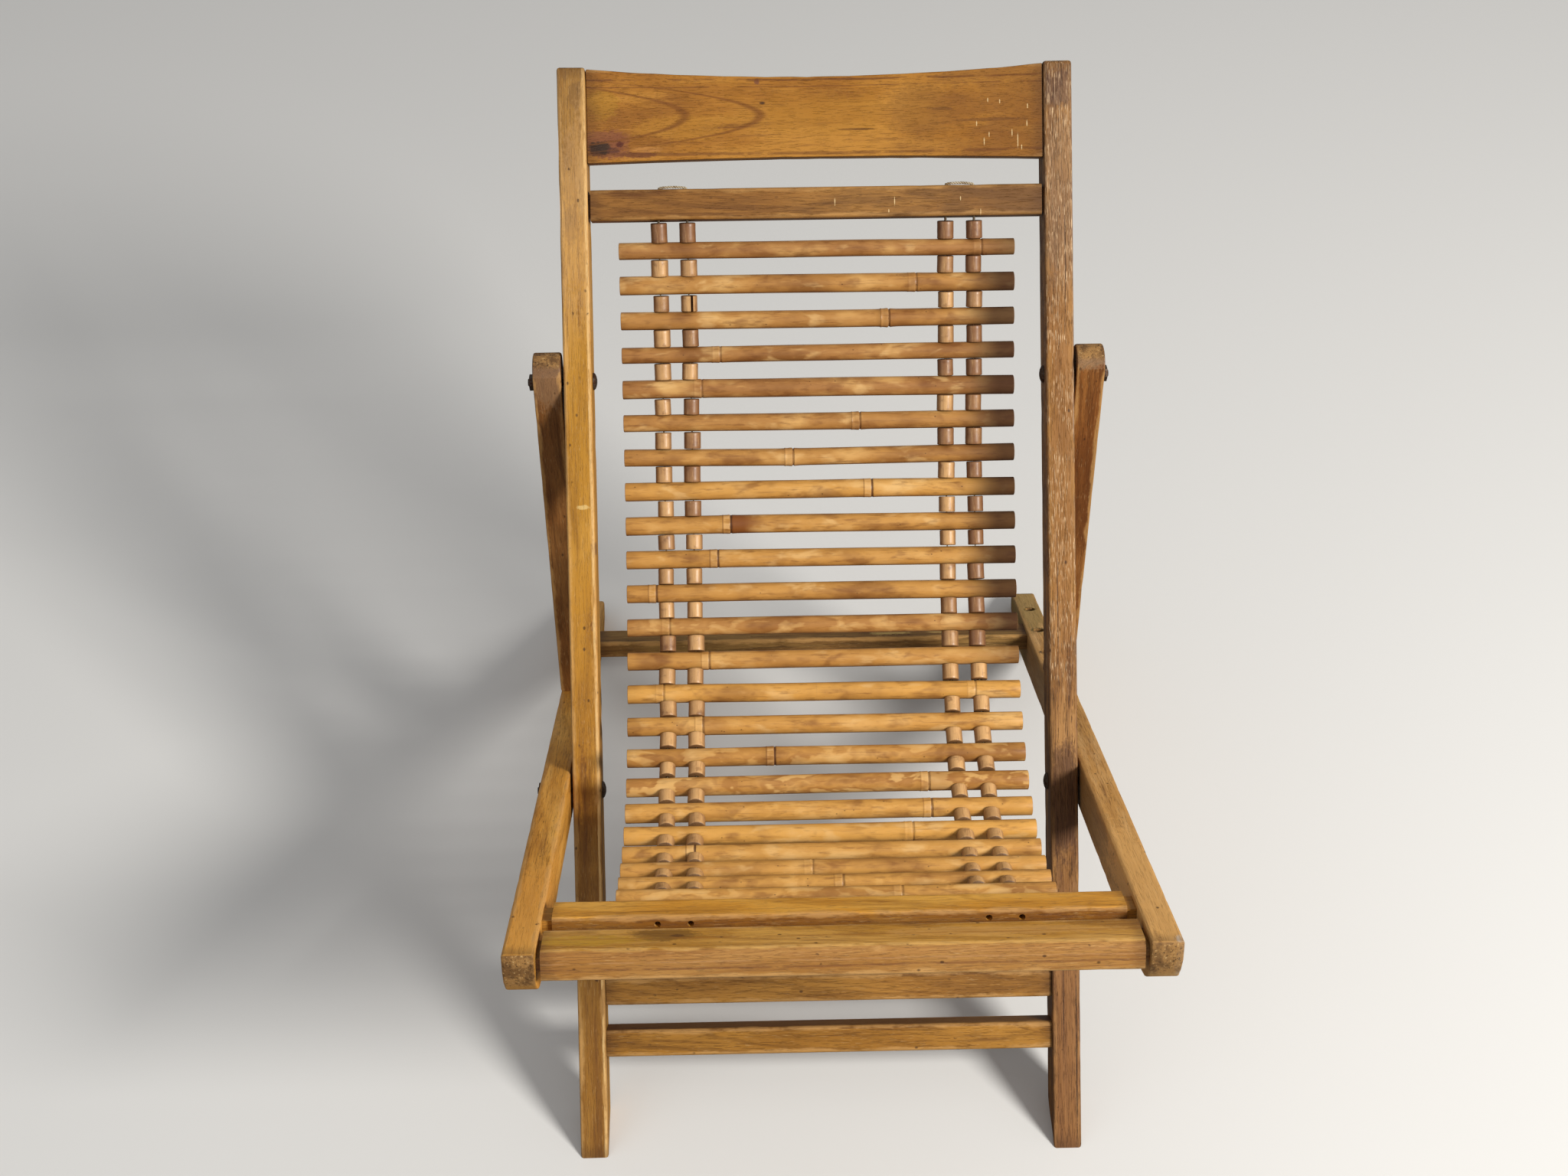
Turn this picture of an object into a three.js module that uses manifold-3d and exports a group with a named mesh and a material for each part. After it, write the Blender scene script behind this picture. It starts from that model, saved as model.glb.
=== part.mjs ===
// Folding recliner: two crossing wooden frames, a pair of props and a hanging mat of bamboo sticks.
// Millimetres, +Z up, the sitter faces -Y. Left and right are as seen from the front: left is -X.
import * as THREE from 'three';
import { mergeVertices } from 'three/addons/utils/BufferGeometryUtils.js';
import Module from 'manifold-3d';

const wasm = await Module();
wasm.setup();

// Shared fits
const gap = 0.3;                 // between faces that touch in the real chair
const cutOverrun = 5;            // how far a cutter runs past the face it leaves
const boreSides = 10;

// Back frame: two leaning stiles and what joins them
const backLean = THREE.MathUtils.degToRad(41.5);
const backInnerWidth = 461;
const stileWidth = 28.5;
const stileDepth = 44;
const stileLength = 1114;
const stileEdge = 2.5;
const stileTopRound = 4;

const crestBottom = 1018;
const crestHeight = 94;
const crestTopSag = 8.3;
const crestBottomRise = 5;
const crestThickness = 18;
const crestHollow = 12;
const crestSetback = 3;
const crestTenonHeight = 62;

const matRailBottom = 960.5;
const matRailHeight = 31;
const matRailDepth = 24;
const matRailSetback = 2;
const matRailShoulderGap = 2.5;

const footRailHeight = 28;
const footRailDepth = 30;
const footRailSetback = 4;
const upperFootRailBottom = 158;
const lowerFootRailBottom = 104;

// Seat frame: two rails that cross outside the stiles, and what joins them
const seatSlope = THREE.MathUtils.degToRad(27.8);
const frameClearance = 2.5;      // between each stile and the seat rail beside it
const seatInnerWidth = backInnerWidth + 2 * (stileWidth + frameClearance);
const seatRailWidth = 28.5;
const seatRailDepth = 50;
const seatRailLength = 1008;
const seatRailEdge = 2.5;
const noseTopRound = 3;
const noseFlat = 3;              // straight part of the rail's end, above its quarter round
const noseRadius = seatRailDepth - noseTopRound - noseFlat;
const toeRound = 6;
const heelRound = 12;

const frontRailSetback = 4;
const frontRailWidth = 46;
const frontRailHeight = 27;
const frontRailDrop = 1;
const frontRailNose = 9;
const frontRailShoulderGap = 4;

const slatSetback = 70;
const slatWidth = 35;
const slatHeight = 20;
const slatShoulderGap = 9;

const stretcherRearSetback = 118;
const stretcherWidth = 48;
const stretcherHeight = 19.5;
const stretcherDrop = 4;

// Joinery shared by the cross pieces
const tenonLength = 15;
const tenonThickness = 11;
const tenonShoulder = 4;         // wood left above and below a tenon
const barRound = 3;

// Pivots
const mainPivotAlongStile = 380;
const mainPivotAlongRail = 425;
const propPivotAlongStile = 800;
const boltRadius = 4;
const boltRunning = 0.55;        // radial play of a bolt in its holes
const headRadius = 9;
const headHeight = 4;
const headCrownShare = 0.62;
const headShoulderShare = 0.9;
const nutRadius = 8.5;
const nutHeight = 5;
const nutSides = 6;
const boltTail = 1.5;            // thread that stands past the nut

// Props and their peg holes
const propWidth = 40;
const propThickness = 28.5;
const propHeadRound = 19.5;
const propHeadRise = 12;         // centre of the round head above its pivot
const propEdge = 2;
const pegHoleCount = 4;
const pegHoleRadius = 7;
const firstPegHole = 76;         // from the rear end of the seat rail
const pegHolePitch = 84;
const propHoleIndex = 3;         // the most upright of the four settings
const pegRadius = 5.8;
const pegLength = 12;
const pegRoot = 10;              // of the peg inside the prop

// Mat of bamboo sticks
const stickCount = 23;
const stickRadius = 9.3;
const matClearance = 29.5;       // from the stick ends to the stiles
const stickLength = backInnerWidth - 2 * matClearance;
const stickSides = 10;
const knuckleRise = 0.7;         // ring at a bamboo node
const knuckleWidth = 5;
// Where each stick's ring is, as a share of half its length, top stick first
const knuckleShares = [0.853, 0.502, 0.363, -0.498, -0.59, 0.21, -0.135, 0.267, -0.46, -0.529, -0.856,
  -0.724, -0.582, -0.856, -0.59, -0.259, 0.503, 0.505, 0.401, -0.59, -0.097, 0.039, 0.3];
const firstStick = 30.7;         // along the mat's curve from the rail it hangs from
const matPitch = 35.1;           // from stick to stick along the curve
const matEndDrop = 14;           // the curve's end below the top of the slat
const topHangAngle = THREE.MathUtils.degToRad(58.1);
const topHandle = 507;
const frontHangAngle = THREE.MathUtils.degToRad(39);
const frontHandle = 274;
const middleFirstIndex = 9;           // index of the stick where the middle stretch begins
const lowerFirstIndex = 16;

// Cords that carry the mat, in pairs left and right
const cordRadius = 1.5;
const cordSides = 5;
const cordBoreRadius = 2.5;
const cordBoreSides = 5;
const cordSetbacks = [70, 41];   // of the inner and outer cord from the stick ends
const cordPlaces = cordSetbacks.map((setback) => stickLength / 2 - setback);
const spacerRadius = 8.7;
const spacerSides = 7;
const cordRise = cordRadius + gap;   // centre of a crossing cord above the face it lies on
const cordHoleSetback = 10;      // holes in the mat rail, behind its front face
const firstSpacerSetback = 2;    // first spacer below the mat rail
const tieHoleRadius = 3;
const tieHoleDrop = 8;           // holes in the slat, below its top
const tieClearance = 2.5;        // between the last stick and the end of the cord that ties it

// Colours from the photograph
const wood = (color, roughness) => new THREE.MeshStandardMaterial({ color, roughness, metalness: 0 });
const stileWood = wood(0xa8752f, 0.5);
const railWood = wood(0xa6713a, 0.5);
const propWood = wood(0x8a5d31, 0.55);
const agedWood = wood(0x7a6237, 0.75);
const bamboo = wood(0xb0793c, 0.35);
const cordFibre = wood(0xc9a874, 0.6);
const steel = new THREE.MeshStandardMaterial({ color: 0x5a544c, roughness: 0.45, metalness: 0.8 });

// Solids: closed meshes in, closed meshes out
function solidOf(geometry) {
  const bare = geometry.clone();
  bare.deleteAttribute('normal');
  bare.deleteAttribute('uv');
  const merged = mergeVertices(bare);
  const vertProperties = new Float32Array(merged.attributes.position.array);
  const triVerts = new Uint32Array(merged.index.array);
  return new wasm.Manifold(new wasm.Mesh({ numProp: 3, vertProperties, triVerts }));
}

function geometryOf(solid) {
  const mesh = solid.getMesh();
  const geometry = new THREE.BufferGeometry();
  geometry.setAttribute('position', new THREE.BufferAttribute(new Float32Array(mesh.vertProperties), 3));
  geometry.setIndex(new THREE.BufferAttribute(new Uint32Array(mesh.triVerts), 1));
  return geometry;
}

const joined = (first, ...others) => others.reduce((whole, piece) => whole.add(piece), first);
const cutBy = (first, ...cutters) => cutters.reduce((whole, piece) => whole.subtract(piece), first);

function named(name, geometry, material) {
  const mesh = new THREE.Mesh(geometry, material);
  mesh.name = name;
  return mesh;
}

// An outline with its corners rounded: each corner is [x, y, radius]
function roundedOutline(corners, steps) {
  const points = [];
  corners.forEach(([x, y, radius], index) => {
    const corner = new THREE.Vector2(x, y);
    if (!radius) {
      points.push(corner);
      return;
    }
    const [beforeX, beforeY] = corners[(index + corners.length - 1) % corners.length];
    const [afterX, afterY] = corners[(index + 1) % corners.length];
    const back = new THREE.Vector2(beforeX, beforeY).sub(corner).normalize();
    const ahead = new THREE.Vector2(afterX, afterY).sub(corner).normalize();
    const halfAngle = Math.acos(THREE.MathUtils.clamp(back.dot(ahead), -1, 1)) / 2;
    const centre = back.clone().add(ahead).normalize().multiplyScalar(radius / Math.sin(halfAngle)).add(corner);
    const start = back.multiplyScalar(radius / Math.tan(halfAngle)).add(corner).sub(centre);
    const end = ahead.multiplyScalar(radius / Math.tan(halfAngle)).add(corner).sub(centre);
    const sweep = start.angleTo(end) * Math.sign(start.cross(end));
    for (let step = 0; step <= steps; step += 1) {
      points.push(start.clone().rotateAround(new THREE.Vector2(), sweep * step / steps).add(centre));
    }
  });
  return new THREE.Shape(points);
}

// A side outline in (Y, Z) given a thickness along X, centred on X = 0, with its edges rounded
function sideProfile(shape, thickness, edge) {
  const geometry = new THREE.ExtrudeGeometry(shape, {
    depth: thickness - 2 * edge, steps: 1, bevelEnabled: edge > 0,
    bevelThickness: edge, bevelSize: edge, bevelOffset: -edge, bevelSegments: 2,
  });
  geometry.translate(0, 0, edge - thickness / 2);
  geometry.applyMatrix4(new THREE.Matrix4().makeBasis(
    new THREE.Vector3(0, 1, 0), new THREE.Vector3(0, 0, 1), new THREE.Vector3(1, 0, 0)));
  return geometry;
}

function boxSolid(sizeX, sizeY, sizeZ, x, y, z) {
  return solidOf(new THREE.BoxGeometry(sizeX, sizeY, sizeZ).translate(x, y, z));
}

// A round bar along X, Y or Z
function roundSolid(radius, length, axis, sides, x, y, z) {
  const geometry = new THREE.CylinderGeometry(radius, radius, length, sides);
  if (axis === 'x') geometry.rotateZ(Math.PI / 2);
  if (axis === 'z') geometry.rotateX(Math.PI / 2);
  return solidOf(geometry.translate(x, y, z));
}

// A cross piece along X between two faces: body, and a tenon that reaches into each side member.
// low and high are the [y, z] corners of its section; nose rounds its front top edge.
function crossPiece({ low, high, innerWidth, shoulderGap, nose = barRound }) {
  const [lowY, lowZ] = low;
  const [highY, highZ] = high;
  const section = roundedOutline([[lowY, lowZ, barRound], [highY, lowZ, barRound],
    [highY, highZ, barRound], [lowY, highZ, nose]], 3);
  const body = solidOf(sideProfile(section, innerWidth - 2 * shoulderGap, 0));
  return joined(body, tenonBar({ low, high, innerWidth, spare: 0 }));
}

// The straight bar that makes both tenons of a cross piece, or with spare, both mortises
function tenonBar({ low, high, innerWidth, spare }) {
  const alongY = high[0] - low[0] > high[1] - low[1];
  const sizeY = alongY ? high[0] - low[0] - 2 * tenonShoulder : tenonThickness;
  const sizeZ = alongY ? tenonThickness : high[1] - low[1] - 2 * tenonShoulder;
  return boxSolid(innerWidth + 2 * (tenonLength + spare), sizeY + 2 * spare, sizeZ + 2 * spare,
    0, (low[0] + high[0]) / 2, (low[1] + high[1]) / 2);
}

// Groups: each frame has Y to the rear and Z away from the floor, along its own timbers
const chair = new THREE.Group();
const backFrame = new THREE.Group();
backFrame.rotation.x = -backLean;
chair.add(backFrame);

const mainPivot = new THREE.Vector3(0, stileDepth / 2, mainPivotAlongStile);
const propPivot = new THREE.Vector3(0, stileDepth / 2, propPivotAlongStile);
const inChair = (group, point) => {
  group.updateWorldMatrix(true, false);
  return point.clone().applyMatrix4(group.matrixWorld);
};

// The seat frame's own origin is the main pivot
const seatFrame = new THREE.Group();
seatFrame.position.copy(inChair(backFrame, mainPivot));
seatFrame.rotation.x = -seatSlope;
chair.add(seatFrame);
const railFront = -mainPivotAlongRail;
const railRear = railFront + seatRailLength;
const railTop = seatRailDepth / 2;
const pegHoleAt = (index) => railRear - firstPegHole - index * pegHolePitch;

// The props turn on the prop pivot, and lean so that their feet meet their peg holes
const propFrame = new THREE.Group();
propFrame.position.copy(inChair(backFrame, propPivot));
chair.add(propFrame);
const propSeat = inChair(seatFrame, new THREE.Vector3(0, pegHoleAt(propHoleIndex), railTop + gap));
const propReach = propSeat.distanceTo(propFrame.position);
const propLean = Math.atan2(propFrame.position.y - propSeat.y, propFrame.position.z - propSeat.z);
propFrame.rotation.x = -propLean;
const footTilt = seatSlope - propLean;

// Cross pieces, as section corners [y, z]
const matRail = {
  low: [matRailSetback, matRailBottom], high: [matRailSetback + matRailDepth, matRailBottom + matRailHeight],
  innerWidth: backInnerWidth, shoulderGap: matRailShoulderGap,
};
const footRailSection = (bottom) => ({
  low: [footRailSetback, bottom], high: [footRailSetback + footRailDepth, bottom + footRailHeight],
  innerWidth: backInnerWidth, shoulderGap: gap,
});
const upperFootRail = footRailSection(upperFootRailBottom);
const lowerFootRail = footRailSection(lowerFootRailBottom);
const frontRail = {
  low: [railFront + frontRailSetback, railTop - frontRailDrop - frontRailHeight],
  high: [railFront + frontRailSetback + frontRailWidth, railTop - frontRailDrop],
  innerWidth: seatInnerWidth, shoulderGap: frontRailShoulderGap, nose: frontRailNose,
};
const slatFront = railFront + slatSetback;
const slatRear = slatFront + slatWidth;
const slat = {
  low: [slatFront, railTop - slatHeight], high: [slatRear, railTop],
  innerWidth: seatInnerWidth, shoulderGap: slatShoulderGap,
};
const stretcher = {
  low: [railRear - stretcherRearSetback - stretcherWidth, railTop - stretcherDrop - stretcherHeight],
  high: [railRear - stretcherRearSetback, railTop - stretcherDrop],
  innerWidth: seatInnerWidth, shoulderGap: gap,
};
const sides = [['left', -1], ['right', 1]];
const cordLines = sides.flatMap(([, side]) => cordPlaces.map((place) => side * place));

function crestTenons(spare) {
  const middle = crestBottom + crestHeight / 2;
  return boxSolid(backInnerWidth + 2 * (tenonLength + spare), tenonThickness + 2 * spare,
    crestTenonHeight + 2 * spare, 0, crestSetback + crestThickness / 2, middle);
}

// Stile: foot cut level with the floor, square rounded top, mortises and two pivot holes
function stileGeometry(side) {
  const heel = stileDepth * Math.tan(backLean);
  const outline = roundedOutline([[0, 0, 0], [stileDepth, heel, 0],
    [stileDepth, stileLength, stileTopRound], [0, stileLength, stileTopRound]], 3);
  const centre = side * (backInnerWidth + stileWidth) / 2;
  const body = solidOf(sideProfile(outline, stileWidth, stileEdge).translate(centre, 0, 0));
  const bore = (pivot) => roundSolid(boltRadius + boltRunning, stileWidth + 2 * cutOverrun, 'x', boreSides,
    centre, pivot.y, pivot.z);
  return geometryOf(cutBy(body, bore(mainPivot), bore(propPivot), crestTenons(gap),
    tenonBar({ ...matRail, spare: gap }), tenonBar({ ...upperFootRail, spare: gap }),
    tenonBar({ ...lowerFootRail, spare: gap })));
}

// Crest rail: a board hollowed for the head, waisted top and bottom
function crestGeometry() {
  const half = backInnerWidth / 2 - gap;
  const top = crestBottom + crestHeight;
  const face = new THREE.Shape();
  face.moveTo(-half, crestBottom);
  face.quadraticCurveTo(0, crestBottom + 2 * crestBottomRise, half, crestBottom);
  face.lineTo(half, top);
  face.quadraticCurveTo(0, top - 2 * crestTopSag, -half, top);
  const reach = crestSetback + crestHollow + crestThickness + cutOverrun;
  const front = new THREE.ExtrudeGeometry(face, { depth: reach, bevelEnabled: false, curveSegments: 10 });
  front.rotateX(Math.PI / 2).translate(0, reach, 0);
  const frontFace = crestSetback;
  const rearFace = crestSetback + crestThickness;
  const plan = new THREE.Shape();
  plan.moveTo(-half, frontFace);
  plan.quadraticCurveTo(0, frontFace + 2 * crestHollow, half, frontFace);
  plan.lineTo(half, rearFace);
  plan.quadraticCurveTo(0, rearFace + 2 * crestHollow, -half, rearFace);
  const bent = new THREE.ExtrudeGeometry(plan, { depth: crestHeight + 2 * cutOverrun, bevelEnabled: false, curveSegments: 10 });
  bent.translate(0, 0, crestBottom - cutOverrun);
  const board = solidOf(front).intersect(solidOf(bent));
  const middle = boxSolid(2 * half - 2 * tenonLength, reach * 2, crestHeight * 2, 0, 0, crestBottom + crestHeight / 2);
  return geometryOf(joined(board, cutBy(crestTenons(0), middle)));
}

// A member of the seat frame: quarter-round nose, rear end cut level with the floor, peg holes
function seatRailGeometry(side) {
  const onFloor = (y) => (y * Math.sin(seatSlope) - seatFrame.position.z) / Math.cos(seatSlope);
  const floorStart = (seatFrame.position.z - railTop * Math.cos(seatSlope)) / Math.sin(seatSlope);
  const outline = roundedOutline([[railFront, railTop, noseTopRound], [railFront, -railTop, noseRadius],
    [floorStart, -railTop, 0], [railRear, onFloor(railRear), toeRound], [railRear, railTop, heelRound]], 5);
  const centre = side * (seatInnerWidth + seatRailWidth) / 2;
  const body = solidOf(sideProfile(outline, seatRailWidth, seatRailEdge).translate(centre, 0, 0));
  const pegHoles = Array.from({ length: pegHoleCount }, (_, index) => roundSolid(pegHoleRadius,
    seatRailDepth + 2 * cutOverrun, 'z', boreSides, centre, pegHoleAt(index), 0));
  const bore = roundSolid(boltRadius + boltRunning, seatRailWidth + 2 * cutOverrun, 'x', boreSides, centre, 0, 0);
  return geometryOf(cutBy(body, bore, ...pegHoles, tenonBar({ ...frontRail, spare: gap }),
    tenonBar({ ...slat, spare: gap }), tenonBar({ ...stretcher, spare: gap })));
}

// Prop: round head on its bolt, foot cut to sit flat on the seat rail, a peg that enters its hole
function propGeometry(side) {
  const half = propWidth / 2;
  const footRise = half * Math.tan(footTilt);
  const outline = roundedOutline([[-half, propHeadRise + half, propHeadRound], [-half, footRise - propReach, 0],
    [half, -footRise - propReach, 0], [half, propHeadRise + half, propHeadRound]], 6);
  const centre = side * (seatInnerWidth + seatRailWidth) / 2;
  const bar = solidOf(sideProfile(outline, propThickness, propEdge).translate(centre, 0, 0));
  const peg = solidOf(new THREE.CylinderGeometry(pegRadius, pegRadius, pegLength + pegRoot, boreSides)
    .rotateX(Math.PI / 2).translate(0, 0, (pegRoot - pegLength) / 2).rotateX(-footTilt)
    .translate(centre, 0, -propReach));
  const bore = roundSolid(boltRadius + boltRunning, propThickness + 2 * cutOverrun, 'x', boreSides, centre, 0, 0);
  return geometryOf(cutBy(joined(bar, peg), bore));
}

// Pivot bolt with a domed head inside the stile; its nut sits on the outer member
const innerFace = backInnerWidth / 2;
const outerFace = seatInnerWidth / 2 + seatRailWidth;
function boltGeometry(side) {
  const seat = innerFace - gap;
  const profile = [[0, seat - headHeight], [headRadius * headCrownShare, seat - headHeight * headShoulderShare],
    [headRadius, seat - headHeight / 2], [headRadius, seat], [boltRadius, seat],
    [boltRadius, outerFace + gap + nutHeight + boltTail], [0, outerFace + gap + nutHeight + boltTail]];
  return new THREE.LatheGeometry(profile.map(([radius, reach]) => new THREE.Vector2(radius, reach)), boreSides)
    .rotateZ(-side * Math.PI / 2);
}

function nutGeometry(side) {
  const centre = side * (outerFace + gap + nutHeight / 2);
  const blank = roundSolid(nutRadius, nutHeight, 'x', nutSides, centre, 0, 0);
  return geometryOf(cutBy(blank, roundSolid(boltRadius + gap, nutHeight + 2 * cutOverrun, 'x', boreSides, centre, 0, 0)));
}

// The mat's curve, from the rail that it hangs from to the slat behind the front rail
const matTop = inChair(backFrame, new THREE.Vector3(0, matRailSetback + cordHoleSetback, matRailBottom));
const matEnd = inChair(seatFrame, new THREE.Vector3(0, slatRear, railTop - matEndDrop));
const matCurve = new THREE.CubicBezierCurve3(matTop,
  new THREE.Vector3(0, -Math.cos(topHangAngle), -Math.sin(topHangAngle)).multiplyScalar(topHandle).add(matTop),
  new THREE.Vector3(0, Math.cos(frontHangAngle), -Math.sin(frontHangAngle)).multiplyScalar(frontHandle).add(matEnd),
  matEnd);
matCurve.arcLengthDivisions = 600;
const onMat = (x, arc) => matCurve.getPointAt(arc / matCurve.getLength()).setX(x);
const alongMat = (arc) => matCurve.getTangentAt(arc / matCurve.getLength());
const stickArc = (index) => firstStick + matPitch * index;

// One bamboo stick along X, its cord holes along Y, a ring where a node of the cane is
function stickGeometry(index) {
  const half = stickLength / 2;
  const ring = half * knuckleShares[index];
  const profile = [[0, -half], [stickRadius, -half], [stickRadius, ring - knuckleWidth / 2],
    [stickRadius + knuckleRise, ring], [stickRadius, ring + knuckleWidth / 2], [stickRadius, half], [0, half]];
  const cane = new THREE.LatheGeometry(profile.map(([radius, reach]) => new THREE.Vector2(radius, reach)), stickSides)
    .rotateY(Math.PI / stickSides).rotateZ(-Math.PI / 2);
  const bores = cordLines.map((x) => roundSolid(cordBoreRadius, 2 * (stickRadius + cutOverrun), 'y',
    cordBoreSides, x, 0, 0));
  return geometryOf(cutBy(solidOf(cane), ...bores));
}

// A straight round piece between two points
function rodBetween(start, end, radius, sides) {
  const along = end.clone().sub(start);
  const turn = new THREE.Quaternion().setFromUnitVectors(new THREE.Vector3(0, 1, 0), along.clone().normalize());
  const geometry = new THREE.CylinderGeometry(radius, radius, along.length(), sides).applyQuaternion(turn);
  const middle = start.clone().add(end).divideScalar(2);
  return solidOf(geometry.translate(middle.x, middle.y, middle.z));
}

// One cord with its spacers over a stretch of sticks: turned as a straight string, then laid along
// the mat's curve. It starts and ends just inside its outer sticks, or with the spacer to the next.
function stretchGeometry(x, first, last) {
  const hasNext = last < stickCount - 1;
  const clear = stickRadius + gap;
  const profile = [[0, stickArc(first) - stickRadius], [cordRadius, stickArc(first) - stickRadius]];
  const spacers = hasNext ? last + 1 - first : last - first;
  for (let index = first; index < first + spacers; index += 1) {
    const [start, end] = [stickArc(index) + clear, stickArc(index + 1) - clear];
    profile.push([cordRadius, start], [spacerRadius, start], [spacerRadius, end]);
    if (index + 1 <= last) profile.push([cordRadius, end]);
    else profile.push([0, end]);
  }
  if (!hasNext) profile.push([cordRadius, stickArc(last) + stickRadius], [0, stickArc(last) + stickRadius]);
  const string = new THREE.LatheGeometry(profile.map(([radius, reach]) => new THREE.Vector2(radius, reach)), spacerSides);
  const { position } = string.attributes;
  for (let index = 0; index < position.count; index += 1) {
    const along = alongMat(position.getY(index));
    const across = new THREE.Vector3(0, -along.z, along.y).multiplyScalar(position.getZ(index));
    const place = onMat(x + position.getX(index), position.getY(index)).add(across);
    position.setXYZ(index, place.x, place.y, place.z);
  }
  return geometryOf(solidOf(string));
}

// The pair of cords that hangs the mat: up through the rail, over its top and down again
function railLoopGeometry(side) {
  const [inner, outer] = cordPlaces.map((place) => side * place);
  const crossing = matRailBottom + matRailHeight + cordRise;
  const inRail = (x, z) => inChair(backFrame, new THREE.Vector3(x, matRailSetback + cordHoleSetback, z));
  const over = rodBetween(inRail(inner, crossing), inRail(outer, crossing), cordRadius, cordSides);
  const legs = [inner, outer].flatMap((x) => {
    const spacerEnd = onMat(x, firstStick - stickRadius - gap);
    const spacerStart = onMat(x, firstSpacerSetback);
    return [rodBetween(inRail(x, crossing + cordRadius), inRail(x, matRailBottom), cordRadius, cordSides),
      rodBetween(inRail(x, matRailBottom + cordRadius), spacerEnd, cordRadius, cordSides),
      rodBetween(spacerStart, spacerEnd, spacerRadius, spacerSides)];
  });
  return geometryOf(joined(over, ...legs));
}

// The pair of cords that ties the mat down: through the slat and across its front face
function slatTieGeometry(side) {
  const [inner, outer] = cordPlaces.map((place) => side * place);
  const crossing = slatFront - cordRise;
  const inSlat = (x, y) => inChair(seatFrame, new THREE.Vector3(x, y, railTop - tieHoleDrop));
  const across = rodBetween(inSlat(inner, crossing), inSlat(outer, crossing), cordRadius, cordSides);
  const legs = [inner, outer].flatMap((x) => {
    const kink = inSlat(x, slatRear + cordRadius);
    const lastStick = stickArc(stickCount - 1);
    const lastCord = onMat(x, lastStick).addScaledVector(alongMat(lastStick), stickRadius + gap + tieClearance);
    return [rodBetween(inSlat(x, crossing - cordRadius), kink, cordRadius, cordSides),
      rodBetween(kink, lastCord, cordRadius, cordSides)];
  });
  return geometryOf(joined(across, ...legs));
}

// Back frame
for (const [name, side] of sides) {
  backFrame.add(named(`stile_${name}`, stileGeometry(side), stileWood));
}
backFrame.add(named('crest_rail', crestGeometry(), stileWood));
const matRailHoles = cordLines.map((x) => roundSolid(cordBoreRadius, matRailHeight + 2 * cutOverrun, 'z',
  cordBoreSides, x, matRailSetback + cordHoleSetback, matRailBottom + matRailHeight / 2));
backFrame.add(named('mat_rail', geometryOf(cutBy(crossPiece(matRail), ...matRailHoles)), railWood));
backFrame.add(named('foot_rail_upper', geometryOf(crossPiece(upperFootRail)), railWood));
backFrame.add(named('foot_rail_lower', geometryOf(crossPiece(lowerFootRail)), railWood));

// Seat frame
for (const [name, side] of sides) {
  seatFrame.add(named(`seat_rail_${name}`, seatRailGeometry(side), railWood));
}
seatFrame.add(named('seat_front_rail', geometryOf(crossPiece(frontRail)), stileWood));
const slatHoles = cordLines.map((x) => roundSolid(tieHoleRadius, slatWidth + 2 * cutOverrun, 'y',
  boreSides, x, (slatFront + slatRear) / 2, railTop - tieHoleDrop));
seatFrame.add(named('mat_slat', geometryOf(cutBy(crossPiece(slat), ...slatHoles)), stileWood));
seatFrame.add(named('rear_stretcher', geometryOf(crossPiece(stretcher)), agedWood));

// Props, pivot bolts and their nuts
for (const [name, side] of sides) {
  propFrame.add(named(`prop_${name}`, propGeometry(side), propWood));
  for (const [pivotName, pivot] of [['main', mainPivot], ['prop', propPivot]]) {
    const bolt = named(`${pivotName}_bolt_${name}`, boltGeometry(side), steel);
    const nut = named(`${pivotName}_nut_${name}`, nutGeometry(side), steel);
    bolt.position.copy(pivot);
    nut.position.copy(pivot);
    backFrame.add(bolt, nut);
  }
}

// Mat: sticks, and each cord in three stretches that turn against each other as the chair folds
for (let index = 0; index < stickCount; index += 1) {
  const stick = named(`stick_${String(index + 1).padStart(2, '0')}`, stickGeometry(index), bamboo);
  const along = alongMat(stickArc(index));
  stick.position.copy(onMat(0, stickArc(index)));
  stick.rotation.x = Math.atan2(along.z, along.y);
  chair.add(stick);
}
const stretches = [['upper', 0, middleFirstIndex - 1], ['middle', middleFirstIndex, lowerFirstIndex - 1],
  ['lower', lowerFirstIndex, stickCount - 1]];
for (const [name, side] of sides) {
  for (const [stretch, first, last] of stretches) {
    cordPlaces.forEach((place, index) => {
      const lane = index === 0 ? 'inner' : 'outer';
      chair.add(named(`cord_${stretch}_${name}_${lane}`, stretchGeometry(side * place, first, last), cordFibre));
    });
  }
  chair.add(named(`rail_loop_${name}`, railLoopGeometry(side), cordFibre));
  chair.add(named(`slat_tie_${name}`, slatTieGeometry(side), cordFibre));
}

// Stand the chair on the floor, centred on it
const bounds = new THREE.Box3().setFromObject(chair, true);
const middle = bounds.getCenter(new THREE.Vector3());
chair.position.set(-middle.x, -middle.y, -bounds.min.z);
chair.updateMatrixWorld(true);

export default chair;
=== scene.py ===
"""Looks of the folding recliner: worn varnished timber, a mat of threaded bamboo, twisted cord.

Metres, Z up, the sitter faces -Y, left is -X as seen from the front.
"""
import math
import random

import bmesh
import bpy
from mathutils import Matrix, Vector, noise


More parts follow.
